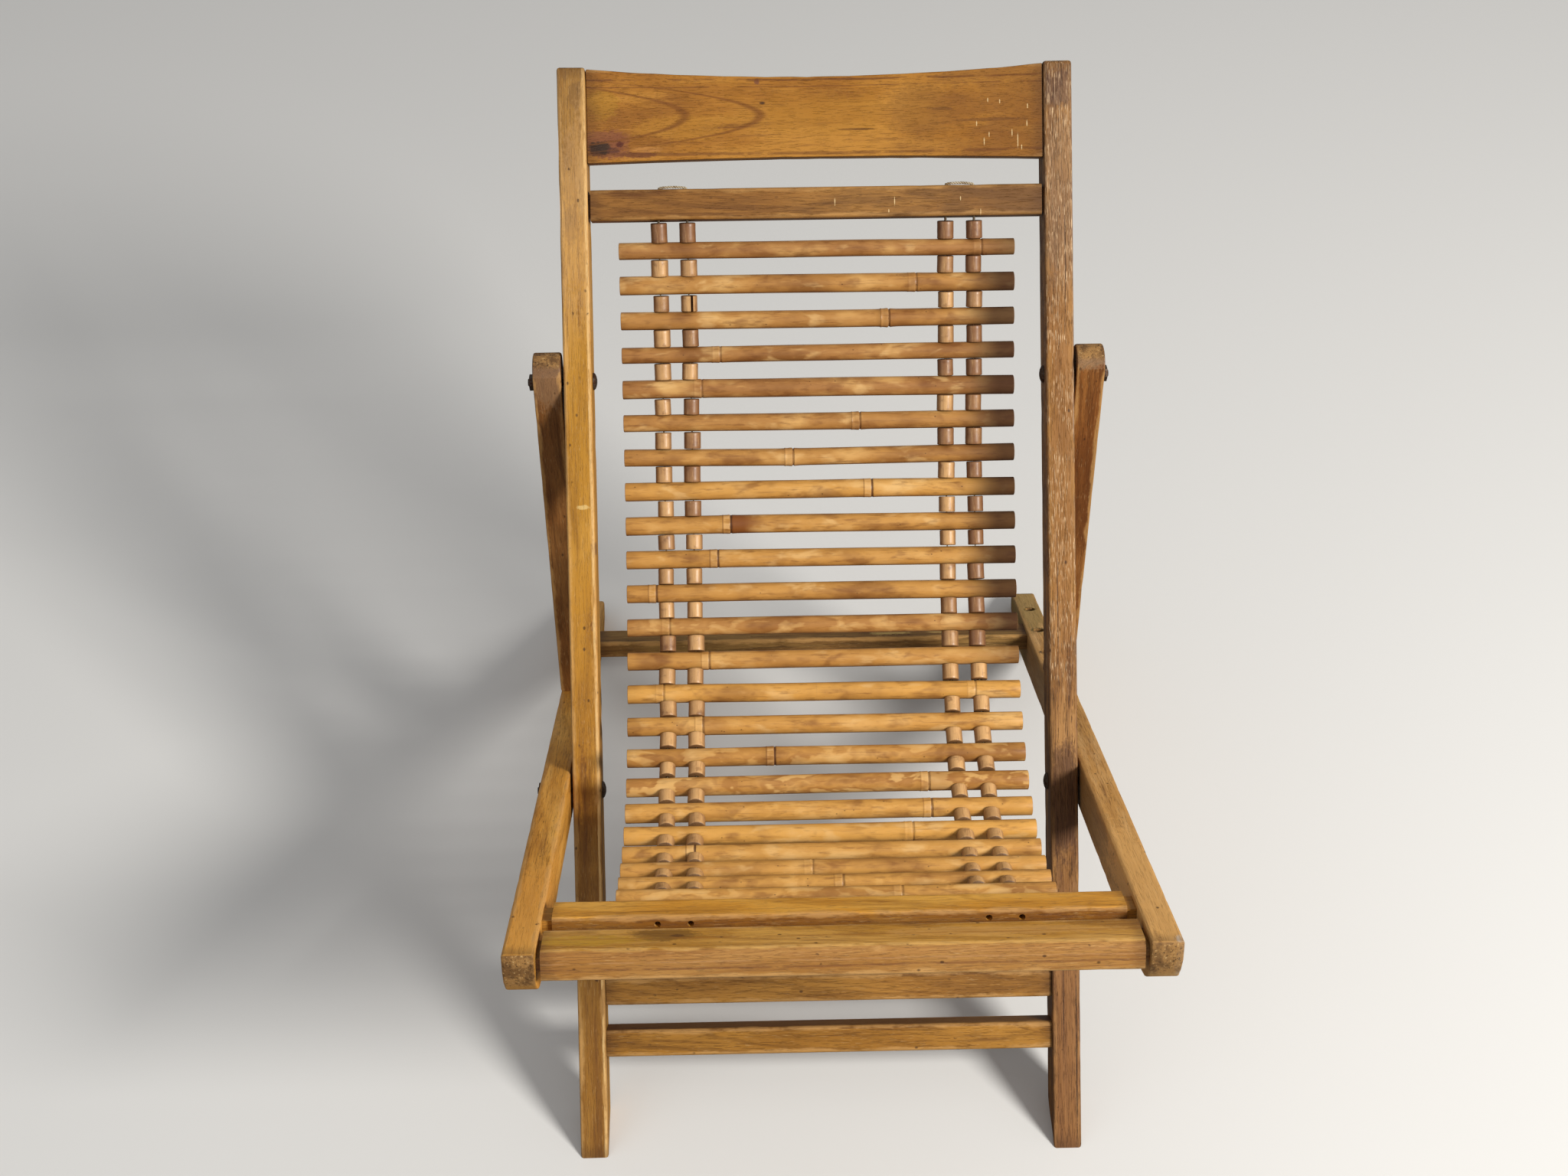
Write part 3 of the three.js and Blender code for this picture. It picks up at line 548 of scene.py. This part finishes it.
# Node, axes, grain, body and slot; a timber's place in the list seeds its dents and its finish
TIMBERS = (
    ("stile_left", BACK, "stile", "back_frame", "golden_wood"),
    ("stile_right", BACK, "stile", "back_frame", "golden_wood"),
    ("crest_rail", BACK, "cross", "back_frame", "golden_wood"),
    ("mat_rail", BACK, "cross", "back_frame", "brown_wood"),
    ("foot_rail_upper", BACK, "cross", "back_frame", "brown_wood"),
    ("foot_rail_lower", BACK, "cross", "back_frame", "brown_wood"),
    ("seat_rail_left", SEAT, "rail", "seat_frame", "brown_wood"),
    ("seat_rail_right", SEAT, "rail", "seat_frame", "brown_wood"),
    ("seat_front_rail", SEAT, "tread", "seat_frame", "golden_wood"),
    ("mat_slat", SEAT, "tread", "seat_frame", "golden_wood"),
    ("rear_stretcher", SEAT, "tread", "seat_frame", "weathered_wood"),
    ("prop_left", PROP, "stile", "prop_left", "prop_wood"),
    ("prop_right", PROP, "stile", "prop_right", "prop_wood"),
)


def add_timbers():
    for seed, (node, place, grain, body, slot) in enumerate(TIMBERS, start=1):
        timber = Timber(node, place, grain, body, slot, seed)
        if node == "crest_rail":
            bevel(timber.bm, 1.6 * MM, sharp_angle=50)
        timber.slice(spacing=14 * MM)
        timber.dent(depth=0.9 * MM, pitch=22 * MM)
        timber.finished(timber_finish(timber, LOOKS[node]))


# Bamboo sticks, in the order from the mat rail down. Diameters are in mm, and a node ring's place is a
# share of the half length. Tones run from 0, brown, to 1, pale. The tables with keys give the exceptions.
STICK_COUNT = 23
STICK_SIDES, STICK_STEPS = 24, 26
STICK_SEEDS = 100
# How far from a stick's right end its painted shadow reaches
SHADE_LENGTH = 70 * MM
STICK_DIAMETERS = (17.0, 19.2, 18.2, 16.8, 19.4, 17.8, 17.8, 19.0, 18.8, 18.6, 18.8, 18.4, 18.6, 18.8, 19.0,
                   19.0, 19.2, 19.2, 18.8, 18.6, 18.4, 18.4, 18.4)
NODE_SHARES = (0.833, 0.502, 0.363, -0.498, -0.595, 0.21, -0.135, 0.267, -0.46, -0.529, -0.847, -0.782,
               -0.582, -0.815, -0.617, -0.259, 0.503, 0.505, 0.401, -0.653, -0.097, 0.039, 0.3)
SECOND_NODES = {13: 0.77}
SWELLINGS = {0: 1.2, 2: 2.6, 5: 2.0, 6: 2.2, 8: 1.3, 10: 1.3, 15: 1.6, 16: 1.4, 18: 1.5}
STICK_TONES = (0.1, 0.35, 0.3, 0.15, 0.1, 0.3, 0.4, 0.75, 0.6, 0.6, 0.6, 0.3, 0.5, 0.9, 0.7, 0.6,
               0.55, 0.85, 0.95, 0.75, 0.7, 0.8, 0.8)
# How dark each stick's right end is painted: the right stile's shadow, painted into its colour
SHADED_ENDS = (0.5, 0.85, 0.95, 0.85, 0.95, 0.95, 0.85, 0.95, 1.0, 1.0, 1.0, 0.85, 0.5) + (0.0,) * 10
BLOTCHES = {11: 0.25, 15: 0.35, 16: 0.65, 17: 0.15, 19: 0.15, 21: 0.2, 22: 0.35}
RINGS = {7: 1.0, 8: 1.0, 9: 0.9, 10: 0.8, 12: 0.6, 13: 0.3, 14: 0.6, 15: 1.0, 16: 0.5, 17: 0.7, 18: 0.2,
         19: 1.0, 20: 0.2, 21: 0.5}
STAINED = {2: 0.35, 8: 1.0, 10: 0.3, 14: 0.4, 16: 0.3, 20: 0.25}

# A node's swelling and groove: distance from the node and rise, in mm
NODE_FORM = ((-14, 0.0), (-9.5, 0.06), (-8.2, 0.3), (-7.4, 0.16), (-5, 0.22), (-2.2, 0.34), (-1.2, 0.3),
             (-0.5, -0.12), (0.5, -0.12), (1.2, 0.2), (3, 0.14), (7, 0.04), (12, 0.0))
NODE_CLEARANCE = 15 * MM

# The softened rim of a sawn end: distance from the end and drop, in mm
RIM_FORM = ((0, 0.7), (0.25, 0.2), (0.8, 0.0))


def lathe(profile, sides, angle=math.tau):
    """A turned form about X. The profile's (x, radius) points close into a loop for a tube's wall."""
    bm = bmesh.new()
    verts = [bm.verts.new((x, 0, radius)) for x, radius in profile]
    ring = verts + verts[:1] if min(radius for _, radius in profile) > 0 else verts
    edges = [bm.edges.new(pair) for pair in zip(ring, ring[1:])]
    whole = angle == math.tau
    bmesh.ops.spin(bm, geom=[*verts, *edges], cent=(0, 0, 0), axis=(1, 0, 0), angle=angle,
                   steps=sides, use_merge=whole)
    bmesh.ops.remove_doubles(bm, verts=bm.verts, dist=WELD)
    if not whole:
        bmesh.ops.holes_fill(bm, edges=bm.edges)
    bmesh.ops.recalc_face_normals(bm, faces=bm.faces)
    return bm


def merge(bm_all, bm, material=0):
    """Moves one mesh into another, all its faces in one material slot."""
    for face in bm.faces:
        face.material_index = material
    mesh = bpy.data.meshes.new("part")
    bm.to_mesh(mesh)
    bm.free()
    bm_all.from_mesh(mesh)
    bpy.data.meshes.remove(mesh)


def set_attribute(bm, name, value_of):
    """Stores value_of(position) at each vertex for the finish to read."""
    layer = bm.verts.layers.float.new(name)
    for vert in bm.verts:
        vert[layer] = value_of(vert.co)


def stick_centre(index):
    low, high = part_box(f"stick_{index + 1:02d}")
    return (low + high) / 2


def stick_radius(index):
    return STICK_DIAMETERS[index] / 2 * MM


def stick_profile(half, radius, nodes, swelling, rng):
    """Half section of a cane, from end to end, with a hollow pith at both ends."""
    taper = rng.uniform(-0.02, 0.02)
    rises = {half * (2 * step / STICK_STEPS - 1): 0.0 for step in range(1, STICK_STEPS)}
    for node in nodes:
        rises = {x: rise for x, rise in rises.items() if abs(x - node) > NODE_CLEARANCE}
        rises.update({node + reach * MM: rise * (swelling if reach < 0 or rise > 0 else 1.0) * MM
                      for reach, rise in NODE_FORM})
    body = [(x, radius * (1 + taper * x / half) + rises[x]) for x in sorted(rises)
            if abs(x) < half - 2 * MM]
    start, end = body[0][1], body[-1][1]
    pith, floor = rng.uniform(1.6, 2.6) * MM, half - 4 * MM
    left_rim = [(-half + reach * MM, start - drop * MM) for reach, drop in RIM_FORM]
    right_rim = [(half - reach * MM, end - drop * MM) for reach, drop in RIM_FORM[::-1]]
    return [(-floor, 0), (-floor, pith * 0.8), (-half, pith), *left_rim, *body, *right_rim,
            (half, pith), (floor, pith * 0.8), (floor, 0)]


def bamboo_finish():
    """Cane: attributes give each stick's tone, its painted right-end shadow and its distance from its node.
    """
    finish = Finish("bamboo", coat_roughness=0.3, specular_ior_level=0.3)
    rise = finish.rise
    tone, painted_end_shadow, from_node, order, blotch, ring, stained = map(
        finish.attribute, ("tone", "painted_end_shadow", "from_node", "order", "blotch", "ring", "stained"))
    x, y, z = finish.split(finish.coordinates())
    x = x + order * 0.37
    lengthwise = finish.join(x * 0.05, y, z)
    streak, fine = finish.noise(lengthwise, 420, 4, 0.65), finish.noise(lengthwise, 1700, 2, 0.6)
    cloud = finish.noise(finish.join(x * 0.6, y, z), 26, 3)
    patch = finish.noise(finish.join(x * 0.5, y, z), 55, 3, 0.5, distortion=0.3)
    mottle = finish.noise(finish.join(x * 0.22, y, z), 190, 4, 0.6)
    specks = rise(finish.cells(finish.join(x * 0.8, y, z), 130), 0.12, 0.05)
    dots = rise(finish.cells(finish.join(0.0, y, z), 900), 0.45, 0.2)

    # Beside the node: a stain to its right, a pale band and a line to its left, and the ring itself
    stain = rise(from_node + (patch - 0.5) * 0.012, 0.036, 0.012) * rise(from_node, 0.0, 0.001)
    band = rise(from_node, -0.009, -0.006) * rise(from_node, 0.0, -0.001)
    line = rise(abs(from_node + 8.4 * MM), 1.0 * MM, 0.3 * MM)
    scar = rise(abs(from_node) + (mottle - 0.5) * 1.6 * MM, 1.5 * MM, 0.7 * MM)

    # Painted shade darkens the side turned down and to the rear; the painted shadow on the right ends lies
    # only on the side turned up and to the front
    _, rearward, upward = finish.split(finish.coordinates("Normal"))
    upturned = upward * 0.8 - rearward * 0.6
    end_shadow_mask = rise(painted_end_shadow + (cloud - 0.5) * 0.35, 0.05, 0.75) * rise(upturned, -0.35, 0.25)
    end = rise(finish.facing((1, 0, 0)), 0.6, 0.85)

    colour = finish.tint(
        finish.paint(ink(164, 112, 62), ink(222, 164, 80), tone),
        ((128, 80, 38), rise(cloud, 0.52, 0.3) * (0.75 - tone * 0.25)),
        ((230, 180, 108), rise(cloud, 0.52, 0.7) * 0.65),
        ((124, 74, 34), rise(patch, 0.46, 0.28) * 0.6),
        ((236, 192, 126), rise(patch, 0.56, 0.7) * 0.5),
        ((114, 68, 30), rise(mottle, 0.53, 0.72) * 0.5),
        ((220, 168, 98), rise(mottle, 0.42, 0.26) * 0.35),
        ((108, 62, 26), rise(streak, 0.54, 0.72) * 0.4),
        ((92, 54, 26), rise(fine, 0.62, 0.72) * 0.25),
        ((134, 76, 32), rise(patch, 0.42, 0.5) * rise(patch, 0.57, 0.535) * blotch * 0.6),
        ((232, 186, 116), rise(patch, 0.525, 0.575) * blotch * 0.75),
        ((124, 68, 28), stain * stained * 0.9),
        ((226, 180, 120), band * ring * rise(mottle, 0.62, 0.42) * 0.6),
        ((96, 56, 28), line * ring * 0.5),
        ((76, 38, 20), scar * (ring * 0.75 + 0.12)),
        # Painted shade on the side turned down and to the rear
        ((104, 60, 28), rise(upturned, 0.5, 0.0) * 0.55),
        # Painted shadow of the right stile on the right ends, matte and without coat
        ((54, 28, 14), end_shadow_mask * 0.9),
        ((70, 42, 22), specks * rise(patch, 0.5, 0.42) * 0.7))
    sawn = finish.tint(ink(164, 120, 72), ((84, 54, 32), dots))
    relief = streak * 0.3 + fine * 0.25 + mottle * 0.3 + scar * -0.5
    finish.wear(base_color=finish.paint(colour, sawn, end * 0.9), normal=finish.bump(relief, 0.3 * MM),
                roughness=0.4 + streak * 0.16 + end * 0.25 + end_shadow_mask * 0.4, coat_weight=0.12 - end_shadow_mask * 0.12)
    return finish


def mat_body(index):
    return "mat_upper" if index < 9 else "mat_middle" if index < 16 else "mat_lower"


def add_sticks(cane):
    for index in range(STICK_COUNT):
        rng = random.Random(STICK_SEEDS + index)
        low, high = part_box(f"stick_{index + 1:02d}")
        half = (high.x - low.x) / 2
        nodes = [half * NODE_SHARES[index]] + [half * share for share in [SECOND_NODES.get(index)] if share]
        profile = stick_profile(half, stick_radius(index), nodes, SWELLINGS.get(index, 1.0), rng)
        bm = lathe(profile, STICK_SIDES)
        bow, kink = rng.uniform(-0.9, 0.9) * MM, rng.uniform(-0.006, 0.006)
        for name, value in (
                ("tone", STICK_TONES[index]), ("order", index), ("blotch", BLOTCHES.get(index, 0.0)),
                ("ring", RINGS.get(index, 0.3)), ("stained", STAINED.get(index, 0.0))):
            set_attribute(bm, name, lambda co: value)
        set_attribute(bm, "from_node", lambda co: min((co.x - node for node in nodes), key=abs))
        # The right stile's shadow on the right end, painted in, darkest at the end
        set_attribute(bm, "painted_end_shadow",
                      lambda co: SHADED_ENDS[index] * max(0.0, 1 - (half - co.x) / SHADE_LENGTH))
        for vert in bm.verts:
            x = vert.co.x
            wobble = noise.noise(Vector((x * 9, index * 3.7, 0))) * 0.5 * MM
            vert.co.z += bow * (1 - (x / half) ** 2) + wobble + kink * (abs(x - nodes[0]) - half / 2)
        bmesh.ops.translate(bm, verts=bm.verts, vec=(low + high) / 2)
        piece = add_piece(f"bamboo_stick_{index + 1:02d}", bm, [cane])
        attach(piece, mat_body(index))
        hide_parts(f"stick_{index + 1:02d}")


# Spacers, short tubes of the same cane
SPACER_SIDES = 20
SPACER_RADIUS, SPACER_BORE, SPACER_RIM = 8.7 * MM, 2.6 * MM, 0.7 * MM
SPLIT_OPENING = 19

# A spacer's play against the stick; a body's last one keeps clear of the next body, which swings apart
SPACER_PLAY, BODY_PLAY = 0.1 * MM, 0.9 * MM

# How far the first spacers hang below the mat rail
RAIL_GAPS = {"left": 2.2 * MM, "right": 4.2 * MM}


def spacer_finish():
    """The same cane cut short: grain along each spacer, painted shade on its sides, and dirt and painted
    shade at its rims.
    """
    finish = Finish("cane_spacer", coat_weight=0.2, coat_roughness=0.28, specular_ior_level=0.4)
    rise = finish.rise
    tone, rim, turn, reach = map(finish.attribute, ("tone", "rim", "turn", "reach"))
    streak = finish.noise(finish.join(turn, reach * 9.0, tone * 31.0), 5, 4, 0.65)
    cloud = finish.noise(finish.coordinates(), 95, 3)
    aside, _, _ = finish.split(finish.coordinates("Normal"))
    colour = finish.tint(
        ink(132, 88, 54),
        ((214, 166, 108), rise(tone + (cloud - 0.5) * 0.7, -0.2, 1.0)),
        ((128, 80, 42), rise(streak, 0.5, 0.7) * 0.5),
        ((234, 190, 132), rise(streak, 0.45, 0.3) * 0.4),
        ((112, 70, 38), rise(cloud, 0.42, 0.28) * 0.5),
        # Painted shade on the spacer's sides
        ((112, 68, 36), rise(abs(aside), 0.5, 0.95) * 0.6),
        # The rims darker with dirt and with painted shade where the spacer meets the sticks
        ((70, 42, 26), rise(rim + (cloud - 0.5) * 0.16, 0.88, 1.0) * 0.8))
    finish.wear(base_color=colour, normal=finish.bump(streak * 0.5 + cloud * 0.3, 0.3 * MM),
                roughness=0.36 + streak * 0.2)
    return finish


def spacer(bm_all, start, end, rng, split=False, shade=0.0):
    """Adds one spacer between two points: a thick tube with softened rims, split open where it cracked."""
    length = (end - start).length
    outer, bore, soft = SPACER_RADIUS * rng.uniform(0.92, 1.01), SPACER_BORE, SPACER_RIM
    profile = [(0, bore), (0, outer - soft), (soft * 0.4, outer - soft * 0.3), (soft, outer)]
    profile += [(length * share, outer * (1 + rng.uniform(-0.015, 0.0))) for share in (0.2, 0.4, 0.6, 0.8)]
    profile += [(length - soft, outer), (length - soft * 0.4, outer - soft * 0.3), (length, outer - soft),
                (length, bore)]
    bm = lathe(profile, SPACER_SIDES, angle=math.radians(360 - SPLIT_OPENING) if split else math.tau)
    tone = max(0.0, rng.uniform(0.1, 1.0) - shade)
    set_attribute(bm, "tone", lambda co: tone)
    set_attribute(bm, "rim", lambda co: abs(2 * co.x / length - 1))
    set_attribute(bm, "turn", lambda co: math.atan2(co.y, co.z))
    set_attribute(bm, "reach", lambda co: co.x)
    direction = (end - start).normalized()
    side = Vector((1, 0, 0))
    basis = Matrix((direction, side, direction.cross(side))).transposed().to_4x4()
    spun = math.radians(-12) if split else rng.uniform(0.6, 1.4) * math.pi
    lean = Matrix.Rotation(rng.uniform(-0.03, 0.03), 4, "Z")
    bmesh.ops.transform(bm, verts=bm.verts,
                        matrix=Matrix.Translation(start) @ basis @ lean @ Matrix.Rotation(spun, 4, "X"))
    merge(bm_all, bm)


def spacer_shade(hand, lane, index):
    """How much darker a spacer is than its random tone: painted stile shadow on the right outer lane's
    upper ones; the lower rows are paler.
    """
    if index > 11:
        return -0.4
    # Painted shadow of the right stile on the right outer lane's upper spacers
    return 0.7 if (hand, lane) == ("right", "outer") else 0.1


# Cords: each hand's cord runs down one lane and up the other, and every spacer is threaded on it
CORD_RADIUS, CORD_PLIES, CORD_PITCH = 1.4 * MM, 3, 8 * MM
CORD_STEP, HIDDEN_STEP = 1.1 * MM, 40 * MM
CORD_SIDEWAYS = Vector((0.13, 0.83, 0.55))
LANES = {"inner": 131 * MM, "outer": 160 * MM}
HANDS = {"left": -1, "right": 1}

# Where the mat's cords end past the last stick and their ties begin, in mm
CORD_END, TIE_START = 12, 12.1

# The loop over the mat rail: share of the way from lane to lane and height above the rail's top, in mm
LOOP_FORM = ((0.03, 0.2), (0.15, 0.9), (0.35, 1.3), (0.6, 1.4), (0.85, 0.8), (0.97, 0.2))


def cord_finish():
    """Pale fibre cord, darker between its strands."""
    finish = Finish("cord", sheen_weight=0.2, specular_ior_level=0.2)
    fuzz = finish.noise(finish.coordinates(), 2600, 2, 0.6)
    stain = finish.noise(finish.coordinates(), 120, 2, 0.5)
    colour = finish.tint(
        ink(206, 188, 156),
        ((146, 120, 84), finish.rise(stain, 0.45, 0.7)),
        ((104, 78, 50), finish.rise(fuzz, 0.55, 0.75) * 0.5),
        ((62, 44, 28), finish.rise(finish.attribute("groove"), 0.35, 0.9) * 0.85))
    finish.wear(base_color=colour, normal=finish.bump(fuzz, 0.3 * MM), roughness=0.85)
    return finish


def cord(bm_all, points, radius=CORD_RADIUS, step=CORD_STEP, darkened=0.0):
    """Adds a laid cord along points: a lobed section that turns as it is carried along the line."""
    bm = bmesh.new()
    ring = bmesh.ops.create_circle(bm, cap_ends=True, radius=radius, segments=4 * CORD_PLIES)["verts"]
    lobes = [abs(math.cos(math.atan2(vert.co.y, vert.co.x) * CORD_PLIES / 2)) for vert in ring]
    sections = [(vert.co * (0.78 + 0.22 * lobe), 1 - lobe) for vert, lobe in zip(ring, lobes)]
    groove = bm.verts.layers.float.new("groove")
    spots = []
    for start, end in zip(points, points[1:]):
        count = max(1, round((end - start).length / step))
        spots += [start.lerp(end, share / count) for share in range(count)]
    spots.append(points[-1])
    face, reach = next(iter(bm.faces)), 0.0
    for index, spot in enumerate(spots):
        ahead = (spots[min(index + 1, len(spots) - 1)] - spots[max(index - 1, 0)]).normalized()
        side = ahead.cross(CORD_SIDEWAYS).normalized()
        basis = Matrix((side, ahead.cross(side), ahead)).transposed().to_4x4()
        if index:
            reach += (spot - spots[index - 1]).length
            face = bmesh.ops.extrude_discrete_faces(bm, faces=[face])["faces"][0]
        place = Matrix.Translation(spot) @ basis @ Matrix.Rotation(math.tau * reach / CORD_PITCH, 4, "Z")
        for vert, (co, depth) in zip(face.verts, sections):
            vert.co = place @ co
            vert[groove] = max(depth, darkened)
    bmesh.ops.contextual_create(bm, geom=[e for e in bm.edges if e.is_boundary])
    bmesh.ops.recalc_face_normals(bm, faces=bm.faces)
    merge(bm_all, bm, material=1)


def string_mesh():
    """An empty mesh with every attribute of the spacers and cords that merge into it."""
    bm = bmesh.new()
    for name in ("tone", "rim", "turn", "reach", "groove"):
        bm.verts.layers.float.new(name)
    return bm


def add_string(name, bm, finishes, body, node):
    piece = add_piece(name, bm, finishes)
    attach(piece, body)
    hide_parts(node)


def add_cords(finishes):
    """Each lane's cord through the sticks, in one stretch for each of the mat's three bodies."""
    for stretch, first, last in (("upper", 0, 8), ("middle", 9, 15), ("lower", 16, 22)):
        for hand, sign in HANDS.items():
            for lane, reach in LANES.items():
                add_stretch(finishes, stretch, hand, lane, sign * reach, first, last)


def add_stretch(finishes, stretch, hand, lane, x, first, last):
    """One lane's cord from its first stick past its last, with the spacers below each of them."""
    rng = random.Random(f"{stretch} {hand} {lane}")
    bm = string_mesh()
    final = min(last + 1, STICK_COUNT - 1)
    centres = [stick_centre(index) for index in range(first, final + 1)]
    line = [Vector((x, centre.y, centre.z)) for centre in centres]
    beyond = [line[-1] + (line[-1] - line[-2]).normalized() * CORD_END * MM] if stretch == "lower" else []
    cord(bm, line + beyond, step=HIDDEN_STEP)
    for index in range(first, final):
        here, there = line[index - first:index - first + 2]
        ahead = (there - here).normalized()
        slip = Vector((rng.uniform(-0.7, 0.7) * MM, 0, 0))
        room = BODY_PLAY if index == last else SPACER_PLAY
        spacer(bm, here + ahead * (stick_radius(index) + SPACER_PLAY) + slip,
               there - ahead * (stick_radius(index + 1) + room) + slip, rng,
               split=(hand, lane, index) == ("left", "inner", 1), shade=spacer_shade(hand, lane, index))
    add_string(f"spacers_{stretch}_{hand}_{lane}", bm, finishes, mat_body(first),
               f"cord_{stretch}_{hand}_{lane}")


def add_rail_loops(finishes):
    """The cords' top ends: from the first spacers up through the mat rail and over its top."""
    hole_setback, rail_bottom, rail_top = 12 * MM, 960.5 * MM, 991.5 * MM
    inner, outer = LANES["inner"], LANES["outer"]
    for hand, sign in HANDS.items():
        rng = random.Random(f"loop {hand}")
        bm = string_mesh()

        def in_rail(reach, height):
            return BACK @ Vector((sign * reach, hole_setback, height))

        for reach in LANES.values():
            top = in_rail(reach, rail_bottom)
            stick = stick_centre(0)
            stick.x = sign * reach
            ahead = (stick - top).normalized()
            foot = stick - ahead * (stick_radius(0) + SPACER_PLAY)
            spacer(bm, top + ahead * RAIL_GAPS[hand], foot, rng, shade=0.7)
            # The leg below the rail is darkened along its whole length
            cord(bm, [stick, top, in_rail(reach, rail_bottom + 3 * MM)], darkened=0.9)
        over = [in_rail(inner + (outer - inner) * share, rail_top + CORD_RADIUS + hump * MM)
                for share, hump in LOOP_FORM]
        low, high = rail_bottom + 2 * MM, rail_top - 1 * MM
        up, down = ([in_rail(reach, low), in_rail(reach, high)] for reach in (inner, outer))
        cord(bm, [*up, *over, *down[::-1]])
        add_string(f"hanging_cord_{hand}", bm, finishes, "back_frame", f"rail_loop_{hand}")


def add_slat_ties(finishes):
    """The cords' lower ends: from the last stick into the slat's holes, knotted there."""
    slat_front, slat_rear, hole_height = -355 * MM, -320 * MM, 17 * MM
    knot_radius, knot_turns = 1.1 * MM, 8
    last = stick_centre(STICK_COUNT - 1)
    start = last + (last - stick_centre(STICK_COUNT - 2)).normalized() * TIE_START * MM
    for hand, sign in HANDS.items():
        bm = string_mesh()
        for reach in LANES.values():
            x = sign * reach
            cord(bm, [Vector((x, start.y, start.z)), SEAT @ Vector((x, slat_rear + 1.5 * MM, hole_height)),
                      SEAT @ Vector((x, slat_front + 9 * MM, hole_height))])
            knot = [SEAT @ Vector((x + knot_radius * math.cos(turn), slat_front + (6 + 0.5 * turn) * MM,
                                   hole_height + knot_radius * math.sin(turn)))
                    for turn in range(knot_turns)]
            cord(bm, knot, CORD_RADIUS * 0.9)
        add_string(f"slat_knots_{hand}", bm, finishes, "seat_frame", f"slat_tie_{hand}")


# A bolt's outline, as distance from its end and radius in mm: domed head, threads, tail
BOLT_SIDES = 20
BOLT_HEAD = ((0, 0), (0.15, 2.6), (0.8, 5.4), (1.9, 7.8), (3.1, 8.8), (4, 8.9), (4, 4))
BOLT_TAIL = ((0.6, 3.9), (0, 3.2), (0, 0))
THREAD_START, THREAD_CREST, THREAD_ROOT = 4.5, 3.9, 3.6


def bolt_profile(half):
    turns = range(int(2 * half / MM) - 6)
    return [*((half - reach * MM, radius * MM) for reach, radius in BOLT_HEAD),
            *((half - THREAD_START * MM - turn * MM, (THREAD_CREST if turn % 2 else THREAD_ROOT) * MM)
              for turn in turns),
            *((-half + reach * MM, radius * MM) for reach, radius in BOLT_TAIL)]


def add_fasteners():
    """Bolts with domed heads, and bevelled hexagon nuts, all dark with age."""
    finish = Finish("aged_steel", metallic=0.8, specular_ior_level=0.4)
    rust = finish.noise(finish.coordinates(), 300, 4, 0.65)
    colour = finish.tint(
        ink(92, 82, 72),
        ((74, 46, 30), finish.rise(rust, 0.42, 0.6)),
        ((44, 36, 30), finish.rise(rust, 0.58, 0.7) * 0.8))
    finish.wear(base_color=colour, roughness=0.42 + rust * 0.3, normal=finish.bump(rust, 0.3 * MM))
    for hand, sign in HANDS.items():
        for pivot in ("main", "prop"):
            low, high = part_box(f"{pivot}_bolt_{hand}")
            bm = lathe(bolt_profile((high.x - low.x) / 2), BOLT_SIDES)
            turn = Matrix.Rotation(0 if sign < 0 else math.pi, 4, "Z")
            bmesh.ops.transform(bm, verts=bm.verts, matrix=Matrix.Translation((low + high) / 2) @ turn)
            bolt = add_piece(f"pivot_bolt_{pivot}_{hand}", bm, [finish], smooth_angle=30)
            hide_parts(f"{pivot}_bolt_{hand}")
            nut_mesh = cad_copy(f"{pivot}_nut_{hand}", flat_angle=1)
            bevel(nut_mesh, 0.5 * MM, sharp_angle=40)
            nut = add_piece(f"pivot_nut_{pivot}_{hand}", nut_mesh, [finish], smooth_angle=30)
            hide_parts(f"{pivot}_nut_{hand}")
            for piece in (bolt, nut):
                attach(piece, "back_frame")


add_camera()
add_stage()
add_timbers()
add_sticks(bamboo_finish())
strings = [spacer_finish(), cord_finish()]
add_cords(strings)
add_rail_loops(strings)
add_slat_ties(strings)
add_fasteners()
